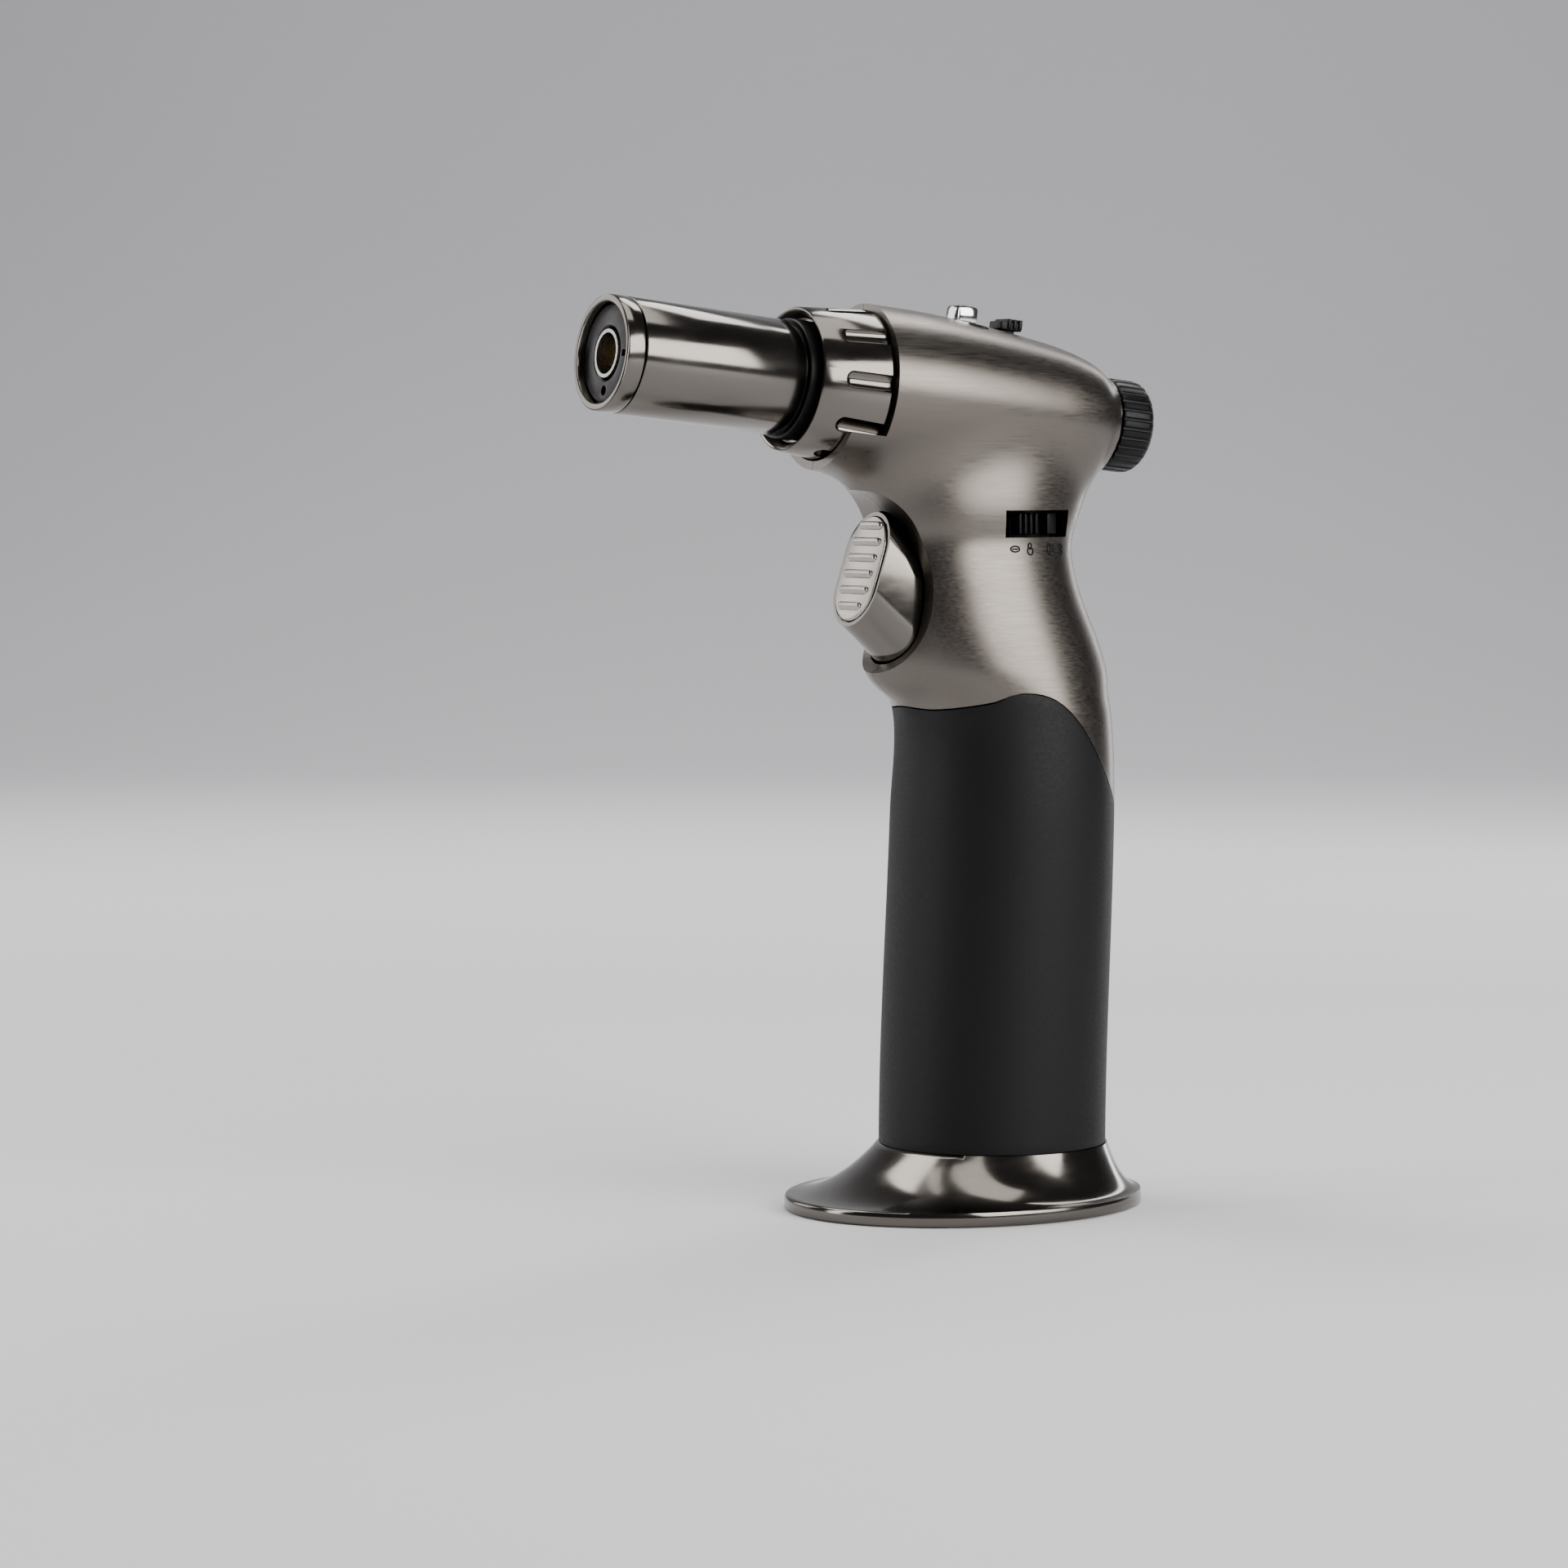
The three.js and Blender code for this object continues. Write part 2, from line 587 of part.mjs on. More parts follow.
// ---------------------------------------------------------------- burner and barrel
add(barrel, 'tip_ring', turned([
  [0, 8.75], [0, 9.9], [0.2, 10.1], [tipLength, 10.1], [tipLength, 9.0], [7.5, 9.0], [7.5, 8.3], [2.9, 8.3],
  [2.9, 8.75], [0, 8.75],
], 32), polished);
add(barrel, 'barrel_tube', pipe(tipLength + gap, bushFront - gap, tubeRadius, tubeBore, 32), polished);

const keyhole = new THREE.Shape().absarc(0, 0, 0.9, 0, 2 * Math.PI);
const drop = new THREE.ExtrudeGeometry(keyhole, { depth: 6, bevelEnabled: false, curveSegments: 6 });
add(barrel, 'burner_disc', cut(
  rod(1.2, 2.6, 8.4, 32),
  rod(0, 4, 4.6, 20),
  drop.rotateY(Math.PI / 2).translate(0, 0, -6.4),
  box(0, 4, -7.6, -5.6, -0.6, 0.6),
), burnt);
add(barrel, 'burner_tube', cut(
  turned([
    [1.0, 3.6], [1.0, 4.2], [30, 4.2], [34, 5.0], [52, 5.0], [52, 4.2], [34.4, 4.2], [30.4, 3.6], [1.0, 3.6],
  ], 24),
  box(42, 47, -8, 8, -1.5, 1.5),
), steel);
add(barrel, 'flame_grid', cut(
  rod(6, 8, 3.3, 20),
  ...[0, 1, 2, 3, 4, 5].map((i) => rod(5, 9, 0.55, 8).translate(
    0, 1.9 * Math.cos(i * Math.PI / 3), 1.9 * Math.sin(i * Math.PI / 3))),
  rod(5, 9, 0.7, 8),
), brass);

add(barrel, 'barrel_bush', cut(
  turned([
    [30, 7.2], [30, 9.0], [bushFront, 9.0], [bushFront, 10.5], [38.6, 10.5], [38.6, 10.0], [54, 10.0],
    [54, 12.4], [57, 12.4], [57, 7.2], [30, 7.2],
  ], 28),
  box(41, 47, -1.6, 1.6, -12, 12),
), blackPlastic);

// Flutes of the air ring: round-ended grooves that run out at its rear edge.
const flute = new THREE.Shape();
flute.absarc(ring.front + 5.7, 0, 1.4, Math.PI / 2, 1.5 * Math.PI);
flute.lineTo(ring.rear + 2, -1.4);
flute.lineTo(ring.rear + 2, 1.4);
flute.closePath();
const fluteSlope = Math.atan2(ring.rearRadius - ring.frontRadius, ring.rear - ring.front);
const flutes = Array.from({ length: ring.flutes }, (_, i) => {
  const groove = new THREE.ExtrudeGeometry(flute, { depth: 4, bevelEnabled: false, curveSegments: 3 });
  groove.translate(-ring.front, 0, 0).rotateY(-fluteSlope).translate(ring.front, 0, ring.frontRadius - 0.75);
  return groove.rotateX((16 + 36 * i) * Math.PI / 180);
});
add(barrel, 'air_ring', cut(
  turned([
    [ring.front, ring.frontRadius - 0.9], [ring.front, ring.frontRadius - 0.3],
    [ring.front + 0.3, ring.frontRadius],
    [ring.rear, ring.rearRadius], [ring.rear, 10.4], [39.4, 10.4], [39.4, 10.9], [38.6, 10.9],
    [ring.front, ring.frontRadius - 0.9],
  ], 40),
  ...flutes,
), polished);

add(barrel, 'electrode', rod(3.2, 52, 0.5, 8).translate(0, 0, -6.0), steel);
add(barrel, 'electrode_insulator', pipe(12, 29.5, 1.6, 0.8, 16).translate(0, 0, -6.0), ceramic);

// ---------------------------------------------------------------- jet, flow valve and knob
add(barrel, 'gas_jet', turned([
  [56, 0.35], [56, 1.4], [60, 2.6], [71.6, 2.6], [71.6, 0.35], [56, 0.35],
], 16), brass);
add(barrel, 'flow_valve_body', join(
  turned([
    [72, 0.8], [72, 5.0], [99.6, 5.0], [99.6, 2.2], [82, 2.2], [82, 0.8], [72, 0.8],
  ], 24),
  pin(-7.5, -4, 1.1, 84, 0),
), brass);
add(barrel, 'flow_stem', turned([[79.5, 0], [82.4, 0.5], [82.6, 1.8], [106, 1.8], [106, 0]], 16), brass);

function ribbedOutline(radius, ribs, depth) {
  const points = [];
  for (let i = 0; i < ribs; i++) {
    for (const [part, r] of [[0.0, radius], [0.5, radius], [0.62, radius - depth], [0.88, radius - depth]]) {
      const a = (i + part) / ribs * 2 * Math.PI;
      points.push([Math.cos(a) * r, Math.sin(a) * r]);
    }
  }
  return polygon(points);
}
const knobRibs = new THREE.ExtrudeGeometry(ribbedOutline(knob.radius, knob.ribs, 0.5), {
  depth: knob.rear - knob.front, bevelEnabled: false,
}).rotateY(Math.PI / 2).translate(knob.front, 0, 0);
const knobDome = turned([
  [knob.front, 0], [knob.front, 7.9], [knob.front + 0.5, 8.4], [knob.rear - 1.6, 8.4], [knob.rear - 0.5, 7.7],
  [knob.rear, 6.4], [knob.rear, 0],
], 30);
add(barrel, 'flow_knob', cut(
  common(knobRibs, knobDome),
  rod(knob.front - 1, 106.6, 2.15),
), blackPlastic);

add(torch, 'gas_hose', hose([
  [17.8, 0, 91.5], [19.3, 0, 92.3], [18.9, 0.4, 95], [18.2, 1.2, 100], [17.4, 2, 106],
  [15.6, 2.4, 116], [13.2, 1.5, 126], [10.1, 0, 133.6],
], 1.5, 20), rubber);

// ---------------------------------------------------------------- controls on top of the head
add(barrel, 'ignition_button', join(
  box(button.s0, button.s1, -button.half, button.half, 12.2, button.top),
  box(button.s0 - 1, button.s1 + 1, -button.half - 1, button.half + 1, 10.6, 11.6),
  box(70, 71.4, -0.7, 0.7, 9.0, 12.4),
), bright);
add(barrel, 'button_rest', cut(
  box(67.2, 74.2, -4, 4, 6.0, 7.4),
  box(69.6, 71.8, -1.1, 1.1, 5, 8),
), blackPlastic);
const [springX, springTop] = fromAxis(70.7, 10.2);
add(torch, 'button_spring', spring(springX, 0, springTop - 2.2, springTop, 1.7, 0.2, 3), steel);

const lockRibs = [0, 1, 2].map((i) => box(
  78.3 + i * 1.35, 79.1 + i * 1.35, -flameLock.half, flameLock.half, 15, flameLock.top));
add(barrel, 'flame_lock', join(
  box(flameLock.s0, flameLock.s1, -flameLock.half, flameLock.half, 14.2, 15.3),
  box(78.8, 81.2, -1.1, 1.1, 10.3, 14.5),
  box(77.4, 82.6, -2.2, 2.2, 9.4, 10.4),
  ...lockRibs,
), blackPlastic);

// ---------------------------------------------------------------- side lock in its window
const lockTurn = Math.atan2(4.1, 15);
const sideLock = new THREE.Group();
sideLock.position.set(0, -13.5, (lockWindow.z0 + lockWindow.z1) / 2);
sideLock.rotation.z = lockTurn;
torch.add(sideLock);
const lockBars = [0, 1, 2, 3].map((i) => box(4.3 + 1.4 * i, 5.0 + 1.4 * i, 0.5, 2.9, -1.9, 1.9));
add(sideLock, 'side_lock', join(
  box(3.9, 14.6, 2.7, 3.5, -3.0, 3.0),
  box(12.0, 14.4, 0.9, 2.9, -1.9, 1.9),
  ...lockBars,
), blackPlastic);
add(sideLock, 'side_lock_rail', cut(
  box(-1.5, 15.4, 3.8, 4.8, -4.4, 4.4),
  box(3, 10, 3, 6, -1.2, 1.2),
), blackPlastic);

// ---------------------------------------------------------------- body shell in two halves
// Half width of the body at a point of the side view.
function halfWidth(x, z) {
  return reach([x, z], [0, 1, 0], 0, whole);
}

const bodyLevels = [94, 97, 100, 104, 109, 114, 119, 124];
const outer = headAndNeck(0, whole, -0.15, skinCount, bodyLevels);
const inner = headAndNeck(wall, [52.5, 99.2], 4, 24, [94, 98, 103, 109, 115, 121]);
const inBarrel = (geometry) => geometry.rotateY(barrelTilt).translate(nozzle.x, 0, nozzle.z);
const bosses = shellScrews.map(([x, z]) => {
  const reachY = halfWidth(x, z) - 1.0;
  return crossBar(x, z, -reachY, reachY, 2.7);
});
const bodyCuts = [
  inBarrel(box(30, headFront, -30, 30, chinTop, 30)),
  inBarrel(box(30, chinFront, -30, 30, -40, 0)),
  inBarrel(box(headRear, 120, -20, 20, -30, 20)),
  inBarrel(turned([
    [30, 0], [30, 12.7], [ring.front, 12.95], [headFront, 14.3], [headFront, 10.4],
    [53.3, 10.4], [53.3, 12.8], [57.4, 12.8], [57.4, 0],
  ], 32)),
  inBarrel(rod(95, 110, 5.4, 16)),
  inBarrel(box(button.s0 - 0.3, button.s1 + 0.3, -button.half - 0.3, button.half + 0.3, 10, 25)),
  inBarrel(box(77.2, 86.6, -1.5, 1.5, 10, 25)),
  sideProfile(ellipse(opening.x, opening.z, opening.semiX, opening.semiZ), -30, 30, 16),
  pushed(stadium(padLength + 1.0, pad.halfWidth + 0.5), -4, 24),
  box(lockWindow.x0, lockWindow.x1, -20, -5, lockWindow.z0, lockWindow.z1),
];
let body = solid(outer).subtract(solid(inner));
for (const boss of bosses) body = body.add(solid(boss));
for (const tool of bodyCuts) body = body.subtract(solid(tool));
const half = 0.05;
function shellHalf(side, holes) {
  const room = side < 0 ? box(-90, 60, -40, -half, 50, 180) : box(-90, 60, half, 40, 50, 180);
  let piece = body.intersect(solid(room));
  for (const hole of holes) piece = piece.subtract(solid(hole));
  return geometryOf(largest(solid(geometryOf(piece))));
}
const pilotHoles = shellScrews.map(([x, z]) => crossBar(x, z, -6.5, 1, 1.25, 12));
const screwPockets = shellScrews.flatMap(([x, z]) => {
  const head = halfWidth(x, z) - 2.4;
  return [crossBar(x, z, -1, 30, 1.5, 12), crossBar(x, z, head, 30, 2.15, 16)];
});
add(torch, 'shell_left', shellHalf(-1, pilotHoles), satin);
add(torch, 'shell_right', shellHalf(1, screwPockets), satin);
shellScrews.forEach(([x, z], i) => {
  const head = halfWidth(x, z) - 2.1;
  const screw = join(crossBar(x, z, head, head + 1.5, 1.8), crossBar(x, z, -6.0, head + 0.5, 1.0, 12));
  const slots = [
    box(x - 1.3, x + 1.3, head + 0.8, head + 2, z - 0.25, z + 0.25),
    box(x - 0.25, x + 0.25, head + 0.8, head + 2, z - 1.3, z + 1.3),
  ];
  add(torch, `shell_screw_${i + 1}`, cut(screw, ...slots), steel);
});

export default torch;
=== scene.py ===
import math

import bmesh
import bpy
import numpy as np
from mathutils import Matrix, Vector


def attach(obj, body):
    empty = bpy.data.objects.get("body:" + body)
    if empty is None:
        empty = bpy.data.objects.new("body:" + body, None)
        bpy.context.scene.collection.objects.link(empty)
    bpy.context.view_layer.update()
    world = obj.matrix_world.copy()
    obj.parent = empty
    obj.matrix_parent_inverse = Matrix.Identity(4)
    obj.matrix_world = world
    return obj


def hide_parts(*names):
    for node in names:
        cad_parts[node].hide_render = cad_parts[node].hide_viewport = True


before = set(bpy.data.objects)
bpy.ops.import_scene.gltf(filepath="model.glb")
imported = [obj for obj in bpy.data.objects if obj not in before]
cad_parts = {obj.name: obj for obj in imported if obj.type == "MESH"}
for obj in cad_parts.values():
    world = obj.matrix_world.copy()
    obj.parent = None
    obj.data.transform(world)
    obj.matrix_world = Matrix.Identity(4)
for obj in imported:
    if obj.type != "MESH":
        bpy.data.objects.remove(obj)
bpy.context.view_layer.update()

# ------------------------------------------------------------------ foot stand
# The foot is a die-cast oval skirt that flares down from the grip to a flat rim.
# It is polished, then plated in dark nickel, so it mirrors the room with hardly any texture.
# The tank's base stands in its top and two screws from below hold it.
MM = 0.001


def linear(code):
    parts = [int(code[i:i + 2], 16) / 255 for i in (1, 3, 5)]
    return tuple(c / 12.92 if c <= 0.04045 else ((c + 0.055) / 1.055) ** 2.4 for c in parts) + (1.0,)


def add_node(tree, kind, links=None, values=None, **settings):
    node = tree.nodes.new(kind)
    for key, value in settings.items():
        setattr(node, key, value)
    for key, value in (values or {}).items():
        node.inputs[key].default_value = value
    for key, socket in (links or {}).items():
        tree.links.new(socket, node.inputs[key])
    return node


def new_material(name, color, metallic, roughness, **sockets):
    material = bpy.data.materials.new(name)
    material.use_nodes = True
    shader = material.node_tree.nodes["Principled BSDF"]
    shader.inputs["Base Color"].default_value = linear(color)
    shader.inputs["Metallic"].default_value = metallic
    shader.inputs["Roughness"].default_value = roughness
    for key, value in sockets.items():
        shader.inputs[key.replace("_", " ")].default_value = value
    material.diffuse_color = linear(color)
    return material


# Noise on Object coordinates: size is the pattern's size in millimetres along x, y and z.
def pattern(material, size, detail=3.0, roughness=0.55, turn=0.0):
    tree = material.node_tree
    place = add_node(tree, "ShaderNodeTexCoord")
    mapping = add_node(
        tree, "ShaderNodeMapping", {"Vector": place.outputs["Object"]},
        {"Scale": [1 / (s * MM) for s in size], "Rotation": (0, turn, 0)})
    return add_node(
        tree, "ShaderNodeTexNoise", {"Vector": mapping.outputs["Vector"]},
        {"Scale": 1.0, "Detail": detail, "Roughness": roughness})


# Spreads a pattern's grey values over a range of roughness.
def vary_roughness(material, noise, low, high):
    tree = material.node_tree
    spread = add_node(
        tree, "ShaderNodeMapRange", {"Value": noise.outputs["Fac"]},
        {"From Min": 0.3, "From Max": 0.7, "To Min": low, "To Max": high})
    tree.links.new(spread.outputs["Result"], tree.nodes["Principled BSDF"].inputs["Roughness"])


def vary_color(material, noise, dark, light):
    tree = material.node_tree
    mix = add_node(
        tree, "ShaderNodeMix", {"Factor": noise.outputs["Fac"]},
        {"A": linear(dark), "B": linear(light)}, data_type="RGBA")
    tree.links.new(mix.outputs["Result"], tree.nodes["Principled BSDF"].inputs["Base Color"])


# Relief of the given height in millimetres.
def relief(material, noise, height, strength=1.0):
    tree = material.node_tree
    bump = add_node(
        tree, "ShaderNodeBump", {"Height": noise.outputs["Fac"]},
        {"Distance": height * MM, "Strength": strength})
    tree.links.new(bump.outputs["Normal"], tree.nodes["Principled BSDF"].inputs["Normal"])


# Polished dark nickel plate: near mirror, warm grey, with faint wiping marks that soften the gloss.
dark_nickel = new_material("polished dark nickel plate", "#6e6963", 1.0, 0.14)
vary_roughness(dark_nickel, pattern(dark_nickel, (9, 9, 3)), 0.11, 0.19)
relief(dark_nickel, pattern(dark_nickel, (6, 6, 6), 1.0), 0.004, 0.5)


# A finished piece: its mesh goes from millimetres to metres, and edges sharper than crease show as edges.
def piece(name, bm, material, body, replaced=(), crease=40, outward=True):
    bmesh.ops.scale(bm, vec=(MM, MM, MM), verts=bm.verts)
    if outward:
        bmesh.ops.recalc_face_normals(bm, faces=bm.faces)
    for face in bm.faces:
        face.smooth = True
    for edge in bm.edges:
        if len(edge.link_faces) == 2:
            edge.smooth = edge.calc_face_angle(0) < math.radians(crease)
    mesh = bpy.data.meshes.new(name)
    bm.to_mesh(mesh)
    bm.free()
    obj = bpy.data.objects.new(name, mesh)
    bpy.context.scene.collection.objects.link(obj)
    mesh.materials.append(material)
    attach(obj, body)
    if replaced:
        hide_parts(*replaced)
    return obj


# A body through rings of points: one circle, extruded ring by ring and closed at both ends.
def through_rings(rings):
    bm = bmesh.new()
    bmesh.ops.create_circle(bm, cap_ends=False, segments=len(rings[0]), radius=1)
    bm.verts.ensure_lookup_table()
    bm.edges.ensure_lookup_table()
    row = list(bm.verts)
    first = row
    for vert, point in zip(row, rings[0]):
        vert.co = Vector(point)
    edges = list(bm.edges)
    for ring in rings[1:]:
        made = bmesh.ops.extrude_edge_only(bm, edges=edges)["geom"]
        edges = [g for g in made if isinstance(g, bmesh.types.BMEdge)]
        fresh = [g for g in made if isinstance(g, bmesh.types.BMVert)]
        edges = [e for e in edges if e.verts[0] in fresh and e.verts[1] in fresh]
        above = {}
        for vert in fresh:
            for edge in vert.link_edges:
                other = edge.other_vert(vert)
                if other in row:
                    above[other] = vert
        row = [above[vert] for vert in row]
        for vert, point in zip(row, ring):
            vert.co = Vector(point)
    bm.faces.new(list(reversed(first)))
    bm.faces.new(row)
    bmesh.ops.recalc_face_normals(bm, faces=bm.faces)
    return bm


# Rounds the edges that turn by more than angle degrees, where keep says so.
def round_edges(bm, width, angle=40, segments=3, keep=lambda edge: True):
    sharp = [
        e for e in bm.edges
        if len(e.link_faces) == 2 and e.calc_face_angle(0) > math.radians(angle) and keep(e)]
    bmesh.ops.bevel(
        bm, geom=sharp, offset=width, offset_type="OFFSET", affect="EDGES", segments=segments,
        profile=0.5, material=-1, clamp_overlap=True)


FOOT_X, FOOT_Y, FOOT_RIM, GRIP_X, GRIP_FOOT = 33.5, 27.6, 2.6, 6.0, 11.0


def oval(x, z, half_x, half_y, count=144):
    turns = [(i + 0.5) / count * math.tau for i in range(count)]
    return [(x - math.cos(a) * half_x, math.sin(a) * half_y, z) for a in turns]


def flare(t):
    rise = FOOT_RIM + (GRIP_FOOT - FOOT_RIM) * t ** 2.1
    half_x = FOOT_X + (20.9 - FOOT_X) * t
    half_y = FOOT_Y + (20.2 - FOOT_Y) * t
    return oval(GRIP_X * t, rise, half_x, half_y)


rim = [(0.0, -0.7), (0.15, -0.3), (0.5, 0.0), (2.1, 0.0), (2.4, -0.12)]
foot_rings = [oval(0, z, FOOT_X + inset, FOOT_Y + inset) for z, inset in rim]
foot_rings += [flare(0.02 + 0.98 * i / 26) for i in range(27)]
foot = through_rings(foot_rings)
piece("foot_stand_plated", foot, dark_nickel, "torch_body", ["foot_stand"], 50)

# ------------------------------------------------------------------ foot plate and its screws
# Moulded black ABS closes the skirt from below, round the opening of the fill valve.
# Two zinc-plated steel screws go up through it into the tank.
black_abs = new_material("moulded black ABS", "#060607", 0.0, 0.42, Specular_IOR_Level=0.2)
vary_roughness(black_abs, pattern(black_abs, (0.8, 0.8, 0.8), 4.0), 0.34, 0.48)
relief(black_abs, pattern(black_abs, (0.3, 0.3, 0.3)), 0.004)
zinc_steel = new_material("zinc-plated steel", "#b4b4b6", 1.0, 0.3)
vary_roughness(zinc_steel, pattern(zinc_steel, (1.5, 1.5, 0.4)), 0.22, 0.4)


def finish_cad(material, slot, *names):
    for name in names:
        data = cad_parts[name].data
        data.materials.clear()
        data.materials.append(material)


finish_cad(black_abs, "black_plastic", "foot_plate")
finish_cad(zinc_steel, "steel", "foot_screw_1", "foot_screw_2")

# ------------------------------------------------------------------ skin of grip, neck and head
# The grip, neck and head share one flowing skin: ovals up the neck, a spindle round the barrel's axis,
# and a nose under the trigger, blended where they meet. Sleeve and shells are cut from it.
NOZZLE_X, NOZZLE_Z, TILT = -72.8, 151.5, math.radians(6.55)
BARREL = Matrix.Translation((NOZZLE_X, 0, NOZZLE_Z)) @ Matrix.Rotation(TILT, 4, "Y")


def smooth_line(points):
    t, v = np.array(points, float).T
    slope = np.zeros(len(t))
    slope[1:-1] = (v[2:] - v[:-2]) / (t[2:] - t[:-2])

    def at(x):
        x = np.clip(x, t[0], t[-1])
        i = np.clip(np.searchsorted(t, x, side="right") - 1, 0, len(t) - 2)
        w = t[i + 1] - t[i]
        u = (x - t[i]) / w
        ease = u * u * (3 - 2 * u)
        return v[i] + (v[i + 1] - v[i]) * ease + w * u * (1 - u) * (slope[i] * (1 - u) - slope[i + 1] * u)
    return at


head_radius = smooth_line([(58, 15.0), (65, 14.8), (75, 14.1), (84, 13.2), (91, 12.2), (97, 10.6), (102, 8.2)])
neck_x = smooth_line([(11, 6.0), (70, 7.9), (88, 7.9), (97, 4.7), (111, 1.3), (121, 0.7)])
neck_half_x = smooth_line([(11, 20.6), (70, 20.2), (90, 20.0), (96, 22.2), (102, 22.0), (111, 20.4), (121, 19.6)])
neck_half_y = smooth_line([(11, 19.9), (70, 20.0), (90, 18.5), (100, 17.0), (111, 15.0), (121, 13.5)])
wave = smooth_line([
    (0, 89.7), (22, 89.3), (55, 90.7), (70, 92.3), (90, 91.3), (103, 87.3), (126, 77.0), (151, 70.3), (180, 68.8)])


def blended(a, b, width):
    near = np.maximum(width - np.abs(a - b), 0) / width
    return np.minimum(a, b) - near * near * width / 4


def skin(x, y, z, ends):
    dx, dz = x - NOZZLE_X, z - NOZZLE_Z
    s = dx * math.cos(TILT) - dz * math.sin(TILT)
    h = dx * math.sin(TILT) + dz * math.cos(TILT)
    head = np.maximum.reduce([np.hypot(h, y) - head_radius(s), ends[0] - s, s - ends[1]])
    half_x, half_y = neck_half_x(z), neck_half_y(z)
    neck = (np.hypot((x - neck_x(z)) / half_x, y / half_y) - 1) * np.minimum(half_x, half_y)
    neck = neck + np.maximum(z - 121, 0) ** 2 / 26
    nose = np.sqrt((x + 12.4) ** 2 + y ** 2 + (z - 98.4) ** 2) - 6.5
    return blended(blended(head, neck, 15), nose, 5)


# Points of the skin, moved in by inset, straight out from each origin along its direction.
def reach(origin, direction, inset, ends):
    def depth(r):
        spot = origin + direction * r[:, None]
        return skin(spot[:, 0], spot[:, 1], spot[:, 2], ends) + inset

    steps = np.arange(1.0, 80.0)
    inside = np.array([depth(np.full(len(origin), r)) < 0 for r in steps])
    far = steps[np.argmin(inside, axis=0)]
    near = far - 1
    for _ in range(22):
        middle = (near + far) / 2
        within = depth(middle) < 0
        near, far = np.where(within, middle, near), np.where(within, far, middle)
    return origin + direction * near[:, None]


WHOLE = (38.0, 104.0)


# Bearings round a ring from the front, crowded at the front and the rear.
def bearings(count):
    turn = (np.arange(count) + 0.5) / count * math.tau
    return turn - 0.25 * np.sin(2 * turn)


# Level rings start from the neck's own axis and end on the point where the tilted rings begin.
CROWN = BARREL @ Vector((70, 0, -17))


def level_ring(height_at, inset, ends, count):
    angle = bearings(count)
    z = height_at(np.degrees(np.arccos(np.cos(angle))))
    shift = np.clip((z - 96) / (CROWN.z - 96), 0, 1)
    origin = np.stack([neck_x(z) * (1 - shift) + CROWN.x * shift, 0 * z, z], axis=1)
    direction = np.stack([-np.cos(angle), np.sin(angle), 0 * angle], axis=1)
    return reach(origin, direction, inset, ends)


def tilted_ring(s, h, tilt, inset, ends, count):
    angle = bearings(count)
    centre = BARREL @ Vector((s, 0, h))
    origin = np.tile(np.array(centre), (count, 1))
    direction = np.stack([-np.cos(angle) * math.cos(tilt), np.sin(angle), np.cos(angle) * math.sin(tilt)], axis=1)
    return reach(origin, direction, inset, ends)


# ------------------------------------------------------------------ grip sleeve
# A moulded sleeve over the tank, dipped in black soft-touch lacquer: matt, with a fine even grain.
# Its top edge follows the wave of the metal shell, and it stands on the foot.
SLEEVE_WALL = 2.2
soft_touch = new_material("black soft-touch lacquer", "#080809", 0.0, 0.55, Specular_IOR_Level=0.24)
vary_roughness(soft_touch, pattern(soft_touch, (0.5, 0.5, 0.5), 4.0), 0.5, 0.62)
relief(soft_touch, pattern(soft_touch, (0.35, 0.35, 0.35), 2.0), 0.015)


def layers(bottom, top_at, inset, rows, count):
    return [
        level_ring(lambda a: bottom + (top_at(a) - bottom) * v, inset, WHOLE, count)
        for v in np.linspace(0, 1, rows)]


def solid_object(bm):
    mesh = bpy.data.meshes.new("cutter")
    bmesh.ops.triangulate(bm, faces=bm.faces)
    bm.to_mesh(mesh)
    bm.free()
    obj = bpy.data.objects.new("cutter", mesh)
    bpy.context.scene.collection.objects.link(obj)
    return obj


# The body less its cutters, as a new mesh. Everything that was only used for cutting goes.
def carve(body, cutters, operation="DIFFERENCE"):
    main = solid_object(body)
    tools = [solid_object(cutter) for cutter in cutters]
    for tool in tools:
        modifier = main.modifiers.new("cut", "BOOLEAN")
        modifier.operation = operation
        modifier.solver = "EXACT"
        modifier.object = tool
    graph = bpy.context.evaluated_depsgraph_get()
    result = bmesh.new()
    result.from_mesh(main.evaluated_get(graph).to_mesh())
    for obj in [main] + tools:
        mesh = obj.data
        bpy.data.objects.remove(obj)
        bpy.data.meshes.remove(mesh)
    bmesh.ops.remove_doubles(result, verts=result.verts, dist=0.002)
    bmesh.ops.dissolve_degenerate(result, dist=0.002, edges=result.edges)
    return result


sleeve = carve(
    through_rings(layers(GRIP_FOOT + 0.1, lambda a: wave(a) - 0.15, 0, 40, 144)),
    [through_rings(layers(5, lambda a: wave(a) + 4, SLEEVE_WALL, 20, 96))])
round_edges(sleeve, 0.3, 50)
piece("grip_sleeve_lacquered", sleeve, soft_touch, "torch_body", ["grip_sleeve"], 50)

# ------------------------------------------------------------------ body shell, two halves
# Two die-cast halves make head and neck. They are brushed along the barrel and plated in dark nickel, so
# the highlights drag out in fine lines. Three screws join them from the right.
WALL = 2.0
SEAM = 0.05
brushed_nickel = new_material("brushed dark nickel plate", "#6c6660", 1.0, 0.33)
brush_lines = pattern(brushed_nickel, (14, 0.5, 0.32), 3.0, 0.6, TILT)
vary_roughness(brushed_nickel, brush_lines, 0.27, 0.38)
vary_color(brushed_nickel, brush_lines, "#67615b", "#716b65")


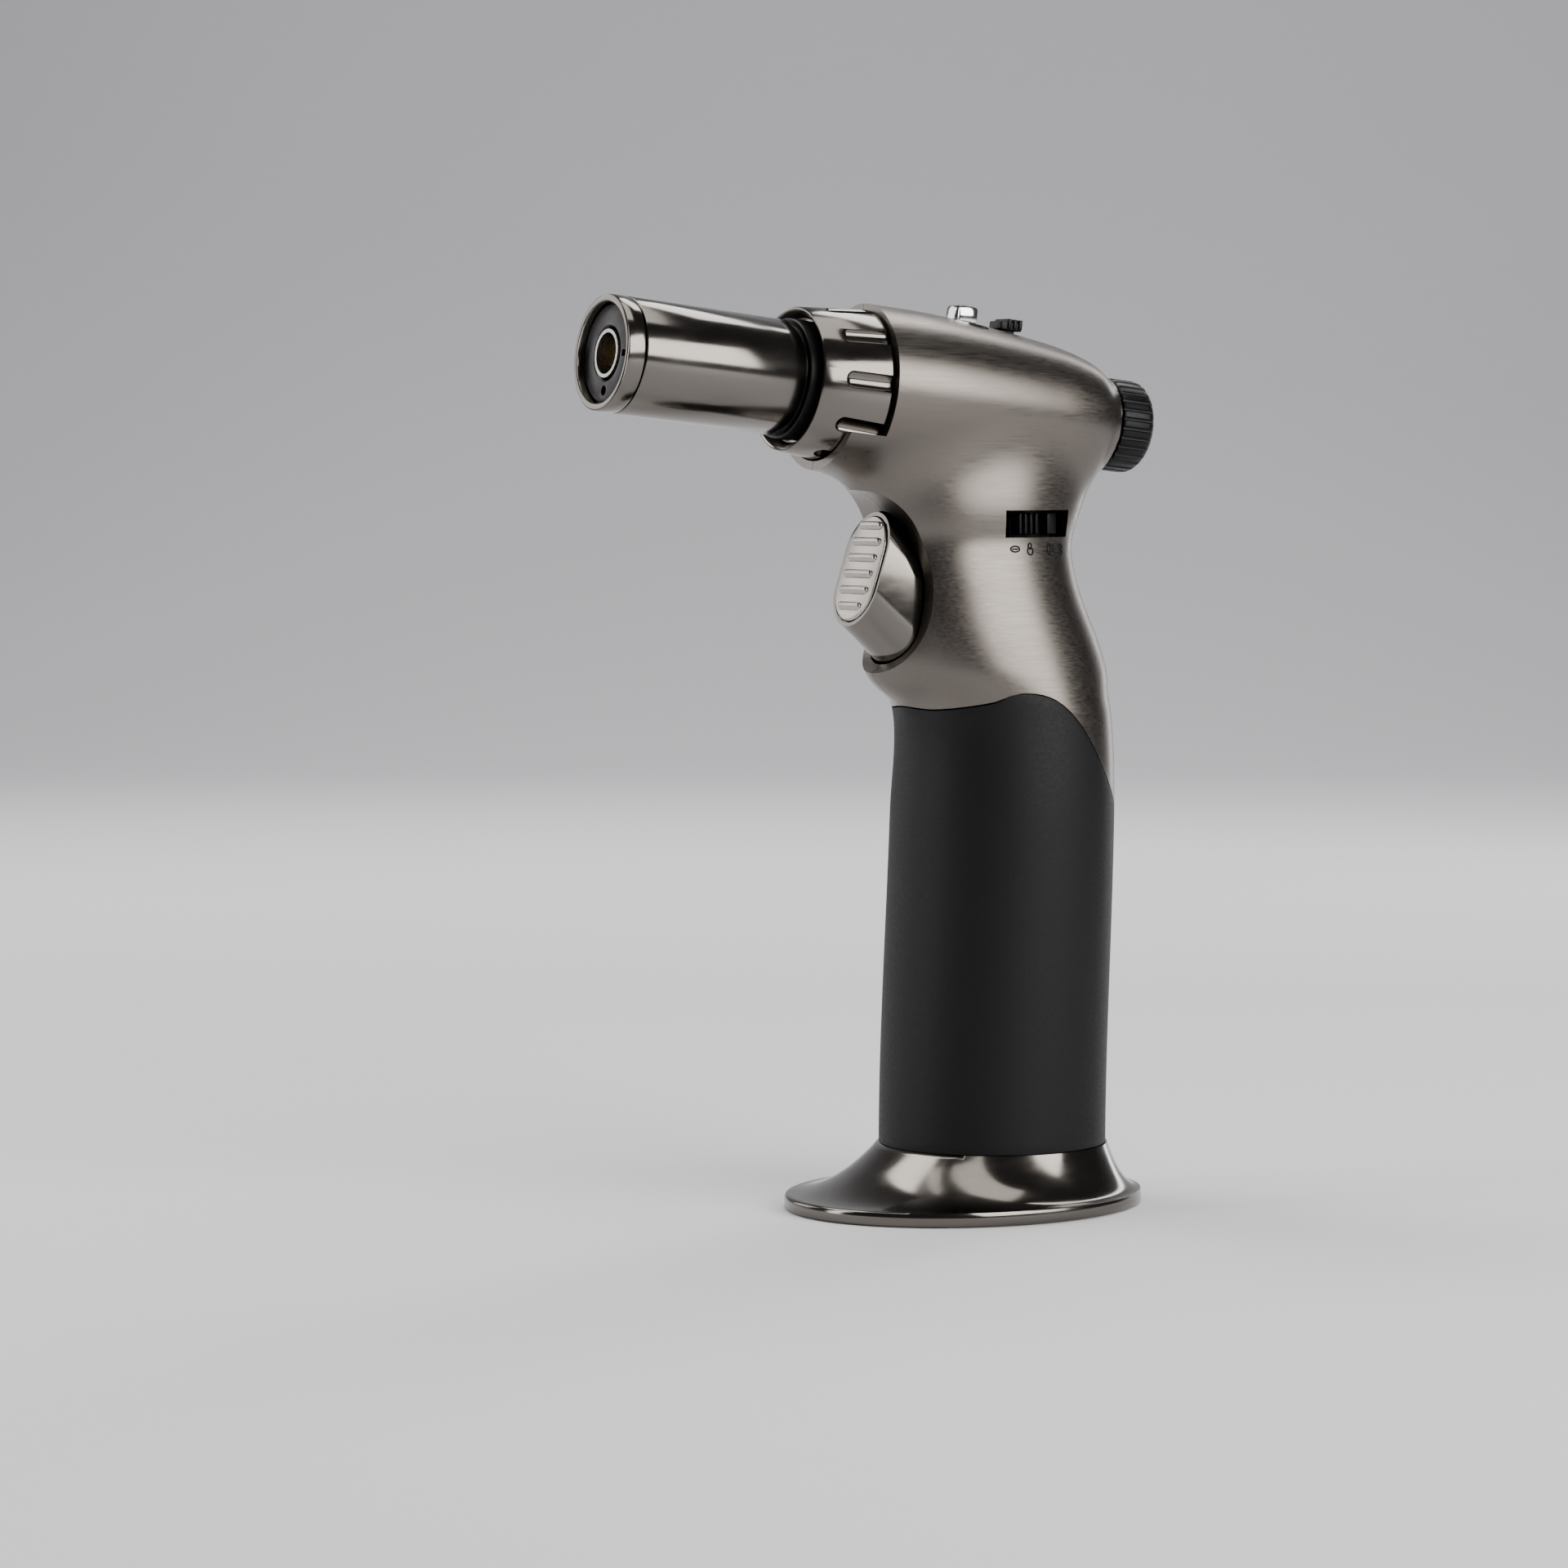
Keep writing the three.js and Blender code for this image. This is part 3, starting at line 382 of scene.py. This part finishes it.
def head_and_neck(inset, ends, drop, count, detail):
    def edge(a):
        return wave(a) - drop
    rings = [level_ring(lambda a: edge(a) + (94 - edge(a)) * v, inset, ends, count) for v in np.linspace(0, 1, 5 * detail)]
    for z in np.linspace(94, CROWN.z, 12 * detail)[1:-1]:
        rings.append(level_ring(lambda a: z + 0 * a, inset, ends, count))
    crown = 14.96 - inset
    lower = np.linspace(-17, 0, 8 * detail) * crown / 14.96
    upper = crown * np.sin(np.linspace(0, math.pi / 2, 9 * detail + 1)[1:])
    for i, h in enumerate(np.concatenate([lower, upper])):
        rear = ends[1]
        while head_radius(rear) - inset < h + 0.02:
            rear -= 0.1
        tilt = TILT * min((i + 1) / (8 * detail), 1)
        rings.append(tilted_ring(min((ends[0] + rear) / 2, 70), h, tilt, inset, ends, count))
    return through_rings(rings)


def block(x0, x1, y0, y1, z0, z1, place=None):
    bm = bmesh.new()
    middle = Matrix.Translation(((x0 + x1) / 2, (y0 + y1) / 2, (z0 + z1) / 2))
    size = Matrix.Diagonal((x1 - x0, y1 - y0, z1 - z0, 1))
    bmesh.ops.create_cube(bm, size=1, matrix=(place or Matrix()) @ middle @ size)
    return bm


# A body of revolution about the barrel's axis, from [distance back, radius] points that start and end on it
# or close on themselves.
def turned(points, count=128, place=BARREL):
    bm = bmesh.new()
    verts = [bm.verts.new((s, 0, r)) for s, r in points]
    edges = [bm.edges.new(pair) for pair in zip(verts, verts[1:])]
    bmesh.ops.spin(
        bm, geom=verts + edges, cent=(0, 0, 0), axis=(1, 0, 0), angle=math.tau, steps=count, use_merge=True)
    bmesh.ops.remove_doubles(bm, verts=bm.verts, dist=0.001)
    bmesh.ops.recalc_face_normals(bm, faces=bm.faces)
    bmesh.ops.transform(bm, matrix=place, verts=bm.verts)
    return bm


# A round bar across the body at x, z.
def cross_bar(x, z, y0, y1, radius, count=48):
    bm = bmesh.new()
    place = Matrix.Translation((x, (y0 + y1) / 2, z)) @ Matrix.Rotation(math.pi / 2, 4, "X")
    bmesh.ops.create_cone(
        bm, cap_ends=True, segments=count, radius1=radius, radius2=radius, depth=y1 - y0, matrix=place)
    return bm


TRAVEL = Vector((math.cos(math.radians(42)), 0, -math.sin(math.radians(42))))
PAD_TOP, PAD_FOOT = Vector((-18.2, 0, 124.1)), Vector((-24.5, 0, 104.05))
PAD_LENGTH = (PAD_TOP - PAD_FOOT).length
PAD_HALF = 7.3


# A round-ended outline on the trigger's face, pushed along the way the trigger is pulled.
def pushed(length, half, start, end, count=48):
    bm = bmesh.new()
    up = (PAD_TOP - PAD_FOOT).normalized()
    bmesh.ops.create_circle(bm, cap_ends=True, segments=count, radius=half)
    run = length / 2 - half
    for vert in bm.verts:
        vert.co.y += run if vert.co.y > 0 else -run
    frame_matrix = Matrix.Translation((PAD_TOP + PAD_FOOT) / 2 + TRAVEL * start)
    turn = Matrix((Vector((0, 1, 0)), up, TRAVEL)).transposed().to_4x4()
    face = list(bm.faces)
    made = bmesh.ops.extrude_face_region(bm, geom=face, use_keep_orig=True)["geom"]
    bmesh.ops.translate(bm, vec=(0, 0, end - start), verts=[g for g in made if isinstance(g, bmesh.types.BMVert)])
    bmesh.ops.transform(bm, matrix=frame_matrix @ turn, verts=bm.verts)
    bmesh.ops.recalc_face_normals(bm, faces=bm.faces)
    return bm


# The finger opening is an oval, cut straight across both halves.
def opening_cutter(grow):
    bm = cross_bar(0, 0, -30, 30, 1, 96)
    bmesh.ops.scale(bm, vec=(11.0 + grow, 1, 17.0 + grow), verts=bm.verts)
    bmesh.ops.translate(bm, vec=(-24.0, 0, 111.0), verts=bm.verts)
    return bm


SCREWS = [(18.5, 129.5), (23.4, 98.0), (-11.0, 126.5)]


def half_width(x, z):
    return reach(np.array([[x, 0.0, z]]), np.array([[0.0, 1.0, 0.0]]), 0, WHOLE)[0][1]


shell = carve(head_and_neck(0, WHOLE, -0.15, 144, 4), [
    head_and_neck(WALL, (52.5, 99.2), 4, 72, 2),
    block(30, 50.5, -30, 30, -8.5, 30, BARREL),
    block(30, 43.5, -30, 30, -40, 0, BARREL),
    block(101.2, 120, -20, 20, -30, 20, BARREL),
    turned([(30, 0), (30, 12.7), (36.8, 12.95), (50.5, 14.3), (50.5, 10.4), (53.3, 10.4), (53.3, 12.8),
            (57.4, 12.8), (57.4, 0)], 96),
    turned([(95, 0), (95, 5.4), (110, 5.4), (110, 0)], 48),
    block(68.3, 73.1, -2.7, 2.7, 10, 25, BARREL),
    block(77.2, 86.6, -1.5, 1.5, 10, 25, BARREL),
    opening_cutter(0),
    pushed(PAD_LENGTH + 1.0, PAD_HALF + 0.5, -4, 24),
    block(0, 15.2, -20, -5, 119.6, 124.4),
    *[cross_bar(x, z, half_width(x, z) - 2.4, 30, 2.15) for x, z in SCREWS]])
bmesh.ops.remove_doubles(shell, verts=shell.verts, dist=0.02)
bmesh.ops.dissolve_degenerate(shell, dist=0.01, edges=shell.edges)
bmesh.ops.recalc_face_normals(shell, faces=shell.faces)
for name, side in (("shell_left", -1), ("shell_right", 1)):
    half = shell.copy()
    cut = bmesh.ops.bisect_plane(
        half, geom=half.verts[:] + half.edges[:] + half.faces[:], dist=0.001, plane_co=(0, side * SEAM, 0),
        plane_no=(0, side, 0), clear_inner=True)["geom_cut"]
    rim_edges = [g for g in cut if isinstance(g, bmesh.types.BMEdge) and len(g.link_faces) == 1]
    bmesh.ops.triangle_fill(half, use_beauty=True, use_dissolve=False, edges=rim_edges, normal=(0, -side, 0))
    print(name, "open edges", sum(len(e.link_faces) != 2 for e in half.edges), len(half.faces))
    piece(name + "_brushed", half, brushed_nickel, "torch_body", [name], 30)
shell.free()

# ------------------------------------------------------------------ shell screws
# Small cross-head screws of zinc-plated steel, sunk in round pockets on the right side.
for i, (x, z) in enumerate(SCREWS):
    seat = half_width(x, z) - 2.1
    across = Matrix.Translation((x, 0, z)) @ Matrix.Rotation(math.pi / 2, 4, "Z")
    screw = turned([
        (-6.0, 0), (-6.0, 1.0), (seat, 1.0), (seat, 1.8), (seat + 1.15, 1.8), (seat + 1.4, 1.65),
        (seat + 1.5, 1.3), (seat + 1.5, 0)], 40, across)
    screw = carve(screw, [
        block(x - 1.2, x + 1.2, seat + 0.8, seat + 3, z - 0.24, z + 0.24),
        block(x - 0.24, x + 0.24, seat + 0.8, seat + 3, z - 1.2, z + 1.2)])
    piece(f"shell_screw_{i + 1}_zinc", screw, zinc_steel, "torch_body", [f"shell_screw_{i + 1}"], 40)

# ------------------------------------------------------------------ trigger guide and igniter
# A black moulded guide fills the opening behind the trigger. The igniter is a bought unit behind it,
# with a red plunger and a red silicone wire up to the electrode.
red_silicone = new_material("red silicone rubber", "#8f1f17", 0.0, 0.45)
vary_roughness(red_silicone, pattern(red_silicone, (0.6, 0.6, 0.6)), 0.38, 0.55)
finish_cad(black_abs, "black_plastic", "trigger_guide", "piezo_case")
finish_cad(red_silicone, "red_plastic", "piezo_plunger", "ignition_wire")

# ------------------------------------------------------------------ trigger and its pad
# The trigger is a plated hollow casting that slides back and down. A brushed plate with six raised bars,
# pressed in its face, is where the finger sits.
trigger = pushed(PAD_LENGTH, PAD_HALF, 0, 14, 72)
front = (PAD_TOP + PAD_FOOT) / 2
trigger = carve(trigger, [
    pushed(PAD_LENGTH - 1.4, PAD_HALF - 0.7, -2, 0.9, 72),
    pushed(PAD_LENGTH - 5, PAD_HALF - 1.8, 3.5, 15, 72)])
round_edges(trigger, 0.3, 40, 3, lambda e: all((v.co - front).dot(TRAVEL) < 7 for v in e.verts))
piece("trigger_plated", trigger, dark_nickel, "trigger_unit", ["trigger"], 40)

satin_nickel = new_material("satin dark nickel plate", "#aaa49d", 1.0, 0.3)
pad_lines = pattern(satin_nickel, (3, 12, 0.5), 3.0)
vary_roughness(satin_nickel, pad_lines, 0.24, 0.34)
pad = pushed(PAD_LENGTH - 2.0, PAD_HALF - 1.0, -0.4, 0.6, 72)
round_edges(pad, 0.25, 40)
pad_up = (PAD_TOP - PAD_FOOT).normalized()
pad_turn = Matrix((Vector((0, 1, 0)), pad_up, TRAVEL)).transposed().to_4x4()
for i, run in enumerate((2.9, 3.9, 3.9, 3.9, 3.9, 2.9)):
    along = 0.3 + (2.5 - i) * 2.95
    made = bmesh.ops.create_uvsphere(pad, u_segments=24, v_segments=14, radius=0.75)["verts"]
    for vert in made:
        vert.co.x += run if vert.co.x > 0 else -run
        vert.co.z *= 0.95
    place = Matrix.Translation(front + pad_up * along - TRAVEL * 0.38) @ pad_turn
    bmesh.ops.transform(pad, matrix=place, verts=made)
piece("trigger_pad_ribbed", pad, satin_nickel, "trigger_unit", ["trigger_pad"], 40)

# ------------------------------------------------------------------ barrel tube and tip ring
# The barrel is drawn stainless tube, polished and plated. A turned ring is pressed in its mouth
# and shows as a fine line round the tube.
tube = turned([
    (3.6, 9.3), (3.6, 9.9), (3.7, 10.05), (3.85, 10.1), (34.9, 10.1), (35.05, 10.0), (35.1, 9.9), (35.1, 9.3), (3.6, 9.3)])
piece("barrel_tube_polished", tube, dark_nickel, "torch_body", ["barrel_tube"])
tip = turned([
    (0.35, 8.75), (0.1, 8.85), (0, 9.05), (0, 9.7), (0.12, 9.98), (0.4, 10.1), (3.1, 10.1), (3.25, 10.05),
    (3.3, 9.95), (3.3, 9.0), (7.5, 9.0), (7.5, 8.3), (2.9, 8.3), (2.9, 8.75), (0.35, 8.75)])
piece("tip_ring_polished", tip, dark_nickel, "torch_body", ["tip_ring"])

# ------------------------------------------------------------------ burner
# A pressed steel disc closes the mouth round the flame tube, darkened by heat, with a slot and a drop-shaped
# hole for the electrode. Inside are the flame tube, a brass grid, and the electrode in its ceramic sleeve.
hot_steel = new_material("heat-darkened steel", "#3a3a3c", 1.0, 0.42)
heat = pattern(hot_steel, (3, 3, 3), 4.0)
vary_roughness(hot_steel, heat, 0.34, 0.6)
vary_color(hot_steel, heat, "#2b2b30", "#4d4a48")
hole = cross_bar(0, 0, -3, 3, 0.9, 32)
bmesh.ops.transform(
    hole, matrix=BARREL @ Matrix.Translation((2, 0, -6.4)) @ Matrix.Rotation(math.pi / 2, 4, "Z"), verts=hole.verts)
disc = carve(
    turned([(1.2, 0), (1.2, 8.2), (1.35, 8.4), (2.6, 8.4), (2.6, 0)], 96),
    [turned([(0, 0), (0, 4.9), (1.25, 4.9), (1.6, 4.6), (4, 4.6), (4, 0)], 64), hole,
     block(0, 4, -7.6, -5.4, -0.6, 0.6, BARREL)])
piece("burner_disc_pressed", disc, hot_steel, "torch_body", ["burner_disc"])
stainless = new_material("drawn stainless steel", "#9d9c9a", 1.0, 0.28)
vary_roughness(stainless, pattern(stainless, (0.3, 4, 4)), 0.2, 0.36)
brass = new_material("turned brass", "#b08d4f", 1.0, 0.28)
vary_roughness(brass, pattern(brass, (0.3, 3, 3)), 0.2, 0.38)
alumina = new_material("unglazed alumina ceramic", "#e6e1d6", 0.0, 0.6)
relief(alumina, pattern(alumina, (0.4, 0.4, 0.4)), 0.01)
finish_cad(stainless, "steel", "burner_tube", "electrode")
finish_cad(brass, "brass", "flame_grid")
finish_cad(alumina, "ceramic", "electrode_insulator")

# ------------------------------------------------------------------ barrel bush
# A black moulded bush carries the tube and the air ring. Its stepped front shows in the mouth of the ring.
bush = turned([
    (30, 7.2), (30, 9.0), (35.4, 9.0), (35.4, 10.35), (35.55, 10.5), (38.6, 10.5), (38.6, 10.0), (54, 10.0),
    (54, 12.4), (57, 12.4), (57, 7.2), (30, 7.2)])
piece("barrel_bush_moulded", bush, black_abs, "torch_body", ["barrel_bush"])

# ------------------------------------------------------------------ air ring
# The air ring is turned, plated and polished. Ten round-ended flutes give the fingers a hold as it turns
# about the barrel to open the air holes.
RING_FRONT, RING_REAR, RING_R0, RING_R1 = 36.8, 50.0, 12.6, 13.9
slope = math.atan2(RING_R1 - RING_R0, RING_REAR - RING_FRONT)
flutes = []
for i in range(10):
    bm = bmesh.new()
    made = bmesh.ops.create_uvsphere(bm, u_segments=32, v_segments=20, radius=1.55)["verts"]
    for vert in made:
        vert.co.x += 14 if vert.co.x > 0 else 0
        vert.co.z *= 0.7
    start = Matrix.Translation((RING_FRONT + 5.8, 0, RING_R0 + 0.55 + 0.12))
    turn = Matrix.Rotation(math.radians(16 + 36 * i), 4, "X")
    bmesh.ops.transform(bm, matrix=BARREL @ turn @ start @ Matrix.Rotation(-slope, 4, "Y"), verts=bm.verts)
    flutes.append(bm)
ring_profile = [
    (37.3, 11.9), (36.95, 12.1), (36.8, 12.3), (36.85, 12.5), (37.1, 12.68), (49.6, 13.86), (49.9, 13.85),
    (50.0, 13.7), (50.0, 10.4), (39.4, 10.4), (39.4, 10.9), (38.6, 10.9), (37.3, 11.9)]
air_ring = carve(turned(ring_profile, 160), flutes)
piece("air_ring_fluted", air_ring, dark_nickel, "air_collar", ["air_ring"], 35)

# ------------------------------------------------------------------ flow knob
# A moulded black knob with thirty ribs on the rear of the head. It turns the brass needle of the flow valve.
KNOB_FRONT, KNOB_REAR = 101.8, 109.1
grooves = []
knob_body = turned([
    (KNOB_FRONT, 0), (KNOB_FRONT, 7.6), (KNOB_FRONT + 0.3, 8.1), (KNOB_FRONT + 0.8, 8.3), (KNOB_REAR - 2.0, 8.3),
    (KNOB_REAR - 1.2, 8.15), (KNOB_REAR - 0.5, 7.6), (KNOB_REAR - 0.1, 6.7), (KNOB_REAR, 6.0), (KNOB_REAR, 3.2),
    (KNOB_REAR - 0.3, 2.9), (KNOB_REAR - 0.3, 0)], 180)
for i in range(30):
    bm = bmesh.new()
    made = bmesh.ops.create_cone(
        bm, cap_ends=True, segments=16, radius1=0.42, radius2=0.42, depth=12,
        matrix=Matrix.Rotation(math.pi / 2, 4, "Y"))["verts"]
    turn = Matrix.Rotation(math.tau * i / 30, 4, "X")
    bmesh.ops.transform(
        bm, matrix=BARREL @ turn @ Matrix.Translation((KNOB_REAR - 1.5, 0, 8.35)), verts=made)
    grooves.append(bm)
knob = carve(knob_body, grooves)
piece("flow_knob_ribbed", knob, black_abs, "flow_control", ["flow_knob"], 35)
finish_cad(brass, "brass", "flow_stem", "flow_valve_body", "gas_jet")

# ------------------------------------------------------------------ ignition button
# A bright chrome-plated block with bevelled edges and a thumb dimple stands in the top of the head.
bright_chrome = new_material("bright chrome plate", "#d6d5d3", 1.0, 0.09)
vary_roughness(bright_chrome, pattern(bright_chrome, (3, 3, 3)), 0.06, 0.14)
cap = block(68.6, 72.8, -2.4, 2.4, 13.7, 17.2)
round_edges(cap, 0.75, 40, 2)
bmesh.ops.transform(cap, matrix=BARREL, verts=cap.verts)
button = carve(cap, [
    block(69.0, 72.4, -2.0, 2.0, 11.2, 14.0, BARREL),
    block(67.6, 73.8, -3.4, 3.4, 10.6, 11.6, BARREL),
    block(70.0, 71.4, -0.7, 0.7, 9.0, 10.9, BARREL)], "UNION")
dimple = bmesh.new()
bmesh.ops.create_uvsphere(
    dimple, u_segments=32, v_segments=20, radius=2.4, matrix=BARREL @ Matrix.Translation((70.7, 0, 19.3)))
button = carve(button, [dimple])
piece("ignition_button_chromed", button, bright_chrome, "ignition_push", ["ignition_button"], 25)
finish_cad(black_abs, "black_plastic", "button_rest")
finish_cad(zinc_steel, "steel", "button_spring")

# ------------------------------------------------------------------ flame lock
# A black moulded slider with raised bars runs in a slot behind the button and holds the flame on.
cap = block(77.8, 82.2, -2.1, 2.1, 13.95, 15.5)
round_edges(cap, 0.25, 40)
bmesh.ops.transform(cap, matrix=BARREL, verts=cap.verts)
bars = []
for i in range(3):
    bar = block(79.1 + i * 1.12, 79.85 + i * 1.12, -2.4, 2.4, 14.2, 16.0)
    round_edges(bar, 0.2, 40)
    bmesh.ops.transform(bar, matrix=BARREL, verts=bar.verts)
    bars.append(bar)
lock = carve(cap, bars + [
    block(78.8, 81.2, -1.1, 1.1, 10.3, 14.5, BARREL), block(77.4, 82.6, -2.2, 2.2, 9.4, 10.4, BARREL)], "UNION")
piece("flame_lock_ribbed", lock, black_abs, "flame_lock_slider", ["flame_lock"], 40)

# ------------------------------------------------------------------ side lock
# A black slider with raised bars shows in a window on the left of the neck and blocks the trigger.
LOCK = Matrix.Translation((0, -13.5, 122.0)) @ Matrix.Rotation(math.atan2(4.1, 15), 4, "Z")
bars = [block(12.0, 14.4, 0.9, 2.9, -1.9, 1.9)]
bars += [block(4.3 + 1.4 * i, 5.0 + 1.4 * i, 0.5, 2.9, -1.9, 1.9) for i in range(4)]
for bar in bars:
    round_edges(bar, 0.2, 40)
    bmesh.ops.transform(bar, matrix=LOCK, verts=bar.verts)
slider = carve(block(3.9, 14.6, 2.7, 3.5, -3.0, 3.0, LOCK), bars, "UNION")
piece("side_lock_ribbed", slider, black_abs, "side_lock_slider", ["side_lock"], 40)
finish_cad(black_abs, "black_plastic", "side_lock_rail")

# Shallow marks, cut under the window and beside the button and filled with black lacquer,
# show the two ends of the slider's travel and where the spark is.
mark_black = new_material("black lacquer fill", "#060606", 0.0, 0.6, Specular_IOR_Level=0.2)
vary_roughness(mark_black, pattern(mark_black, (0.4, 0.4, 0.4)), 0.5, 0.7)


def loop(x, z, half_x, half_z, turn=0.0, count=28):
    points = []
    for k in range(count):
        a = k / count * math.tau
        u, v = half_x * math.cos(a), half_z * math.sin(a)
        points.append((x + u * math.cos(turn) - v * math.sin(turn), z + u * math.sin(turn) + v * math.cos(turn)))
    return points


def straight(x0, z0, x1, z1, count=8):
    return [(x0 + (x1 - x0) * k / count, z0 + (z1 - z0) * k / count) for k in range(count + 1)]


def marks(name, paths, from_point, along, radius=0.15):
    curve = bpy.data.curves.new(name, "CURVE")
    curve.dimensions = "3D"
    curve.bevel_depth = radius
    curve.bevel_resolution = 2
    curve.use_fill_caps = True
    for points, closed in paths:
        spline = curve.splines.new("POLY")
        spline.points.add(len(points) - 1)
        spline.use_cyclic_u = closed
        origin = np.array([from_point(u, v) for u, v in points])
        hits = reach(origin, np.tile(np.array(along), (len(points), 1)), 0, WHOLE)
        for point, hit in zip(spline.points, hits):
            point.co = (*hit, 1)
    temporary = bpy.data.objects.new(name, curve)
    bpy.context.scene.collection.objects.link(temporary)
    graph = bpy.context.evaluated_depsgraph_get()
    bm = bmesh.new()
    bm.from_mesh(temporary.evaluated_get(graph).to_mesh())
    bpy.data.objects.remove(temporary)
    bmesh.ops.remove_doubles(bm, verts=bm.verts, dist=0.001)
    return piece(name, bm, mark_black, "torch_body", [], 60)


lock_marks = [
    (loop(1.9, 117.6, 0.95, 0.5), True), (straight(1.3, 117.6, 2.5, 117.6), False),
    (loop(5.2, 117.2, 0.62, 0.62), True), (loop(5.2, 118.1, 0.36, 0.5), True),
    (loop(9.9, 117.5, 0.45, 0.95), True), (straight(10.9, 116.9, 11.1, 118.2), False),
    (loop(13.3, 117.9, 0.4, 0.42), True), (loop(13.3, 117.0, 0.42, 0.5), True)]
marks("lock_marks_filled", lock_marks, lambda x, z: (x, 0.0, z), (0, -1.0, 0))


def on_head(s, y):
    return tuple(BARREL @ Vector((s, y, 0)))


up_head = tuple(BARREL.to_3x3() @ Vector((0, 0, 1)))
spark_mark = [(loop(71.6, -4.6, 1.9, 0.85), True), (straight(70.6, -4.9, 72.6, -4.3), False)]
marks("spark_mark_filled", spark_mark, on_head, up_head, 0.16)

# ------------------------------------------------------------------ gas parts inside
# The tank and lid are smoked nylon, the valves turned brass, their springs steel, seals and hose rubber.
smoked_nylon = new_material("smoked nylon", "#5c6066", 0.0, 0.3)
vary_roughness(smoked_nylon, pattern(smoked_nylon, (2, 2, 2)), 0.24, 0.38)
nitrile = new_material("black nitrile rubber", "#161616", 0.0, 0.75)
relief(nitrile, pattern(nitrile, (0.3, 0.3, 0.3)), 0.01)
finish_cad(smoked_nylon, "smoked_resin", "fuel_tank", "tank_lid")
finish_cad(nitrile, "rubber", "tank_gasket", "fill_valve_seal", "outlet_valve_gasket", "gas_hose")
finish_cad(brass, "brass", "fill_valve_body", "fill_valve_stem", "outlet_valve_body", "outlet_valve_stem")
finish_cad(zinc_steel, "steel", "fill_valve_spring", "outlet_valve_spring", "gas_lever", "lever_pin")

# ------------------------------------------------------------------ studio
# A pale floor that curves up behind the torch, two tall soft boxes and one above.
paper = new_material("pale studio paper", "#dadadd", 0.0, 0.9)
vary_color(paper, pattern(paper, (900, 900, 900)), "#d6d6d9", "#dedee1")
floor = bmesh.new()
row = [floor.verts.new((x * 1.0, -1.6, 0)) for x in (-3, 3)]
edges = [floor.edges.new(row)]
for y, z in [(1.2, 0)] + [(1.2 + 0.8 * math.sin(a), 0.8 - 0.8 * math.cos(a)) for a in np.linspace(0.1, 1.55, 16)] + [(2.0, 3.2)]:
    made = bmesh.ops.extrude_edge_only(floor, edges=edges)["geom"]
    edges = [g for g in made if isinstance(g, bmesh.types.BMEdge)]
    fresh = [g for g in made if isinstance(g, bmesh.types.BMVert)]
    edges = [e for e in edges if e.verts[0] in fresh and e.verts[1] in fresh]
    for vert in fresh:
        vert.co.y, vert.co.z = y, z
bmesh.ops.rotate(floor, cent=(0, 0, 0), matrix=Matrix.Rotation(math.radians(-29.4), 3, "Z"), verts=floor.verts)
mesh = bpy.data.meshes.new("studio_floor")
for face in floor.faces:
    face.smooth = True
floor.to_mesh(mesh)
floor.free()
backdrop = bpy.data.objects.new("studio_floor", mesh)
bpy.context.scene.collection.objects.link(backdrop)
mesh.materials.append(paper)

AZIMUTH, ELEVATION = math.radians(-29.44), math.radians(3.74)
back = Vector((
    math.sin(AZIMUTH) * math.cos(ELEVATION), -math.cos(AZIMUTH) * math.cos(ELEVATION), math.sin(ELEVATION)))
aim = Vector((-0.037, 0, 0.0767))


def soft_box(name, azimuth, elevation, distance, width, height, power, target=(0, 0, 0.1)):
    data = bpy.data.lights.new(name, "AREA")
    data.shape = "RECTANGLE"
    data.size, data.size_y = width, height
    data.energy = power
    lamp = bpy.data.objects.new(name, data)
    a, e = math.radians(azimuth), math.radians(elevation)
    way = Vector((math.sin(a) * math.cos(e), -math.cos(a) * math.cos(e), math.sin(e)))
    lamp.location = Vector(target) + way * distance
    lamp.rotation_euler = way.to_track_quat("Z", "Y").to_euler()
    lamp.visible_camera = False
    bpy.context.scene.collection.objects.link(lamp)


soft_box("key", 21, 20, 0.95, 0.86, 0.5, 11)
soft_box("left strip", -105, 12, 0.9, 0.2, 0.9, 4)
soft_box("right strip", 118, 14, 0.9, 0.1, 0.9, 1.8)
soft_box("back left", -150, 14, 0.9, 0.45, 0.5, 1.7)
soft_box("overhead", 0, 88, 1.1, 0.85, 0.85, 6.5)
soft_box("backdrop wash", -29.4, 30, 0.7, 1.2, 0.3, 5, tuple(-back * 1.3 + Vector((0, 0, 0.35))))
soft_box("top back right", 130, 52, 1.1, 0.5, 0.35, 4)
soft_box("top back left", -150, 54, 1.1, 0.6, 0.4, 5)
world = bpy.data.worlds.new("studio")
bpy.context.scene.world = world
world.use_nodes = True
world.node_tree.nodes["Background"].inputs["Color"].default_value = linear("#9a9a9e")
world.node_tree.nodes["Background"].inputs["Strength"].default_value = 0.2

camera_data = bpy.data.cameras.new("camera")
camera_data.sensor_width = 36
camera_data.lens = 111.6
camera = bpy.data.objects.new("camera", camera_data)
camera.location = aim + back * 0.85
camera.rotation_euler = back.to_track_quat("Z", "Y").to_euler()
bpy.context.scene.collection.objects.link(camera)
bpy.context.scene.camera = camera
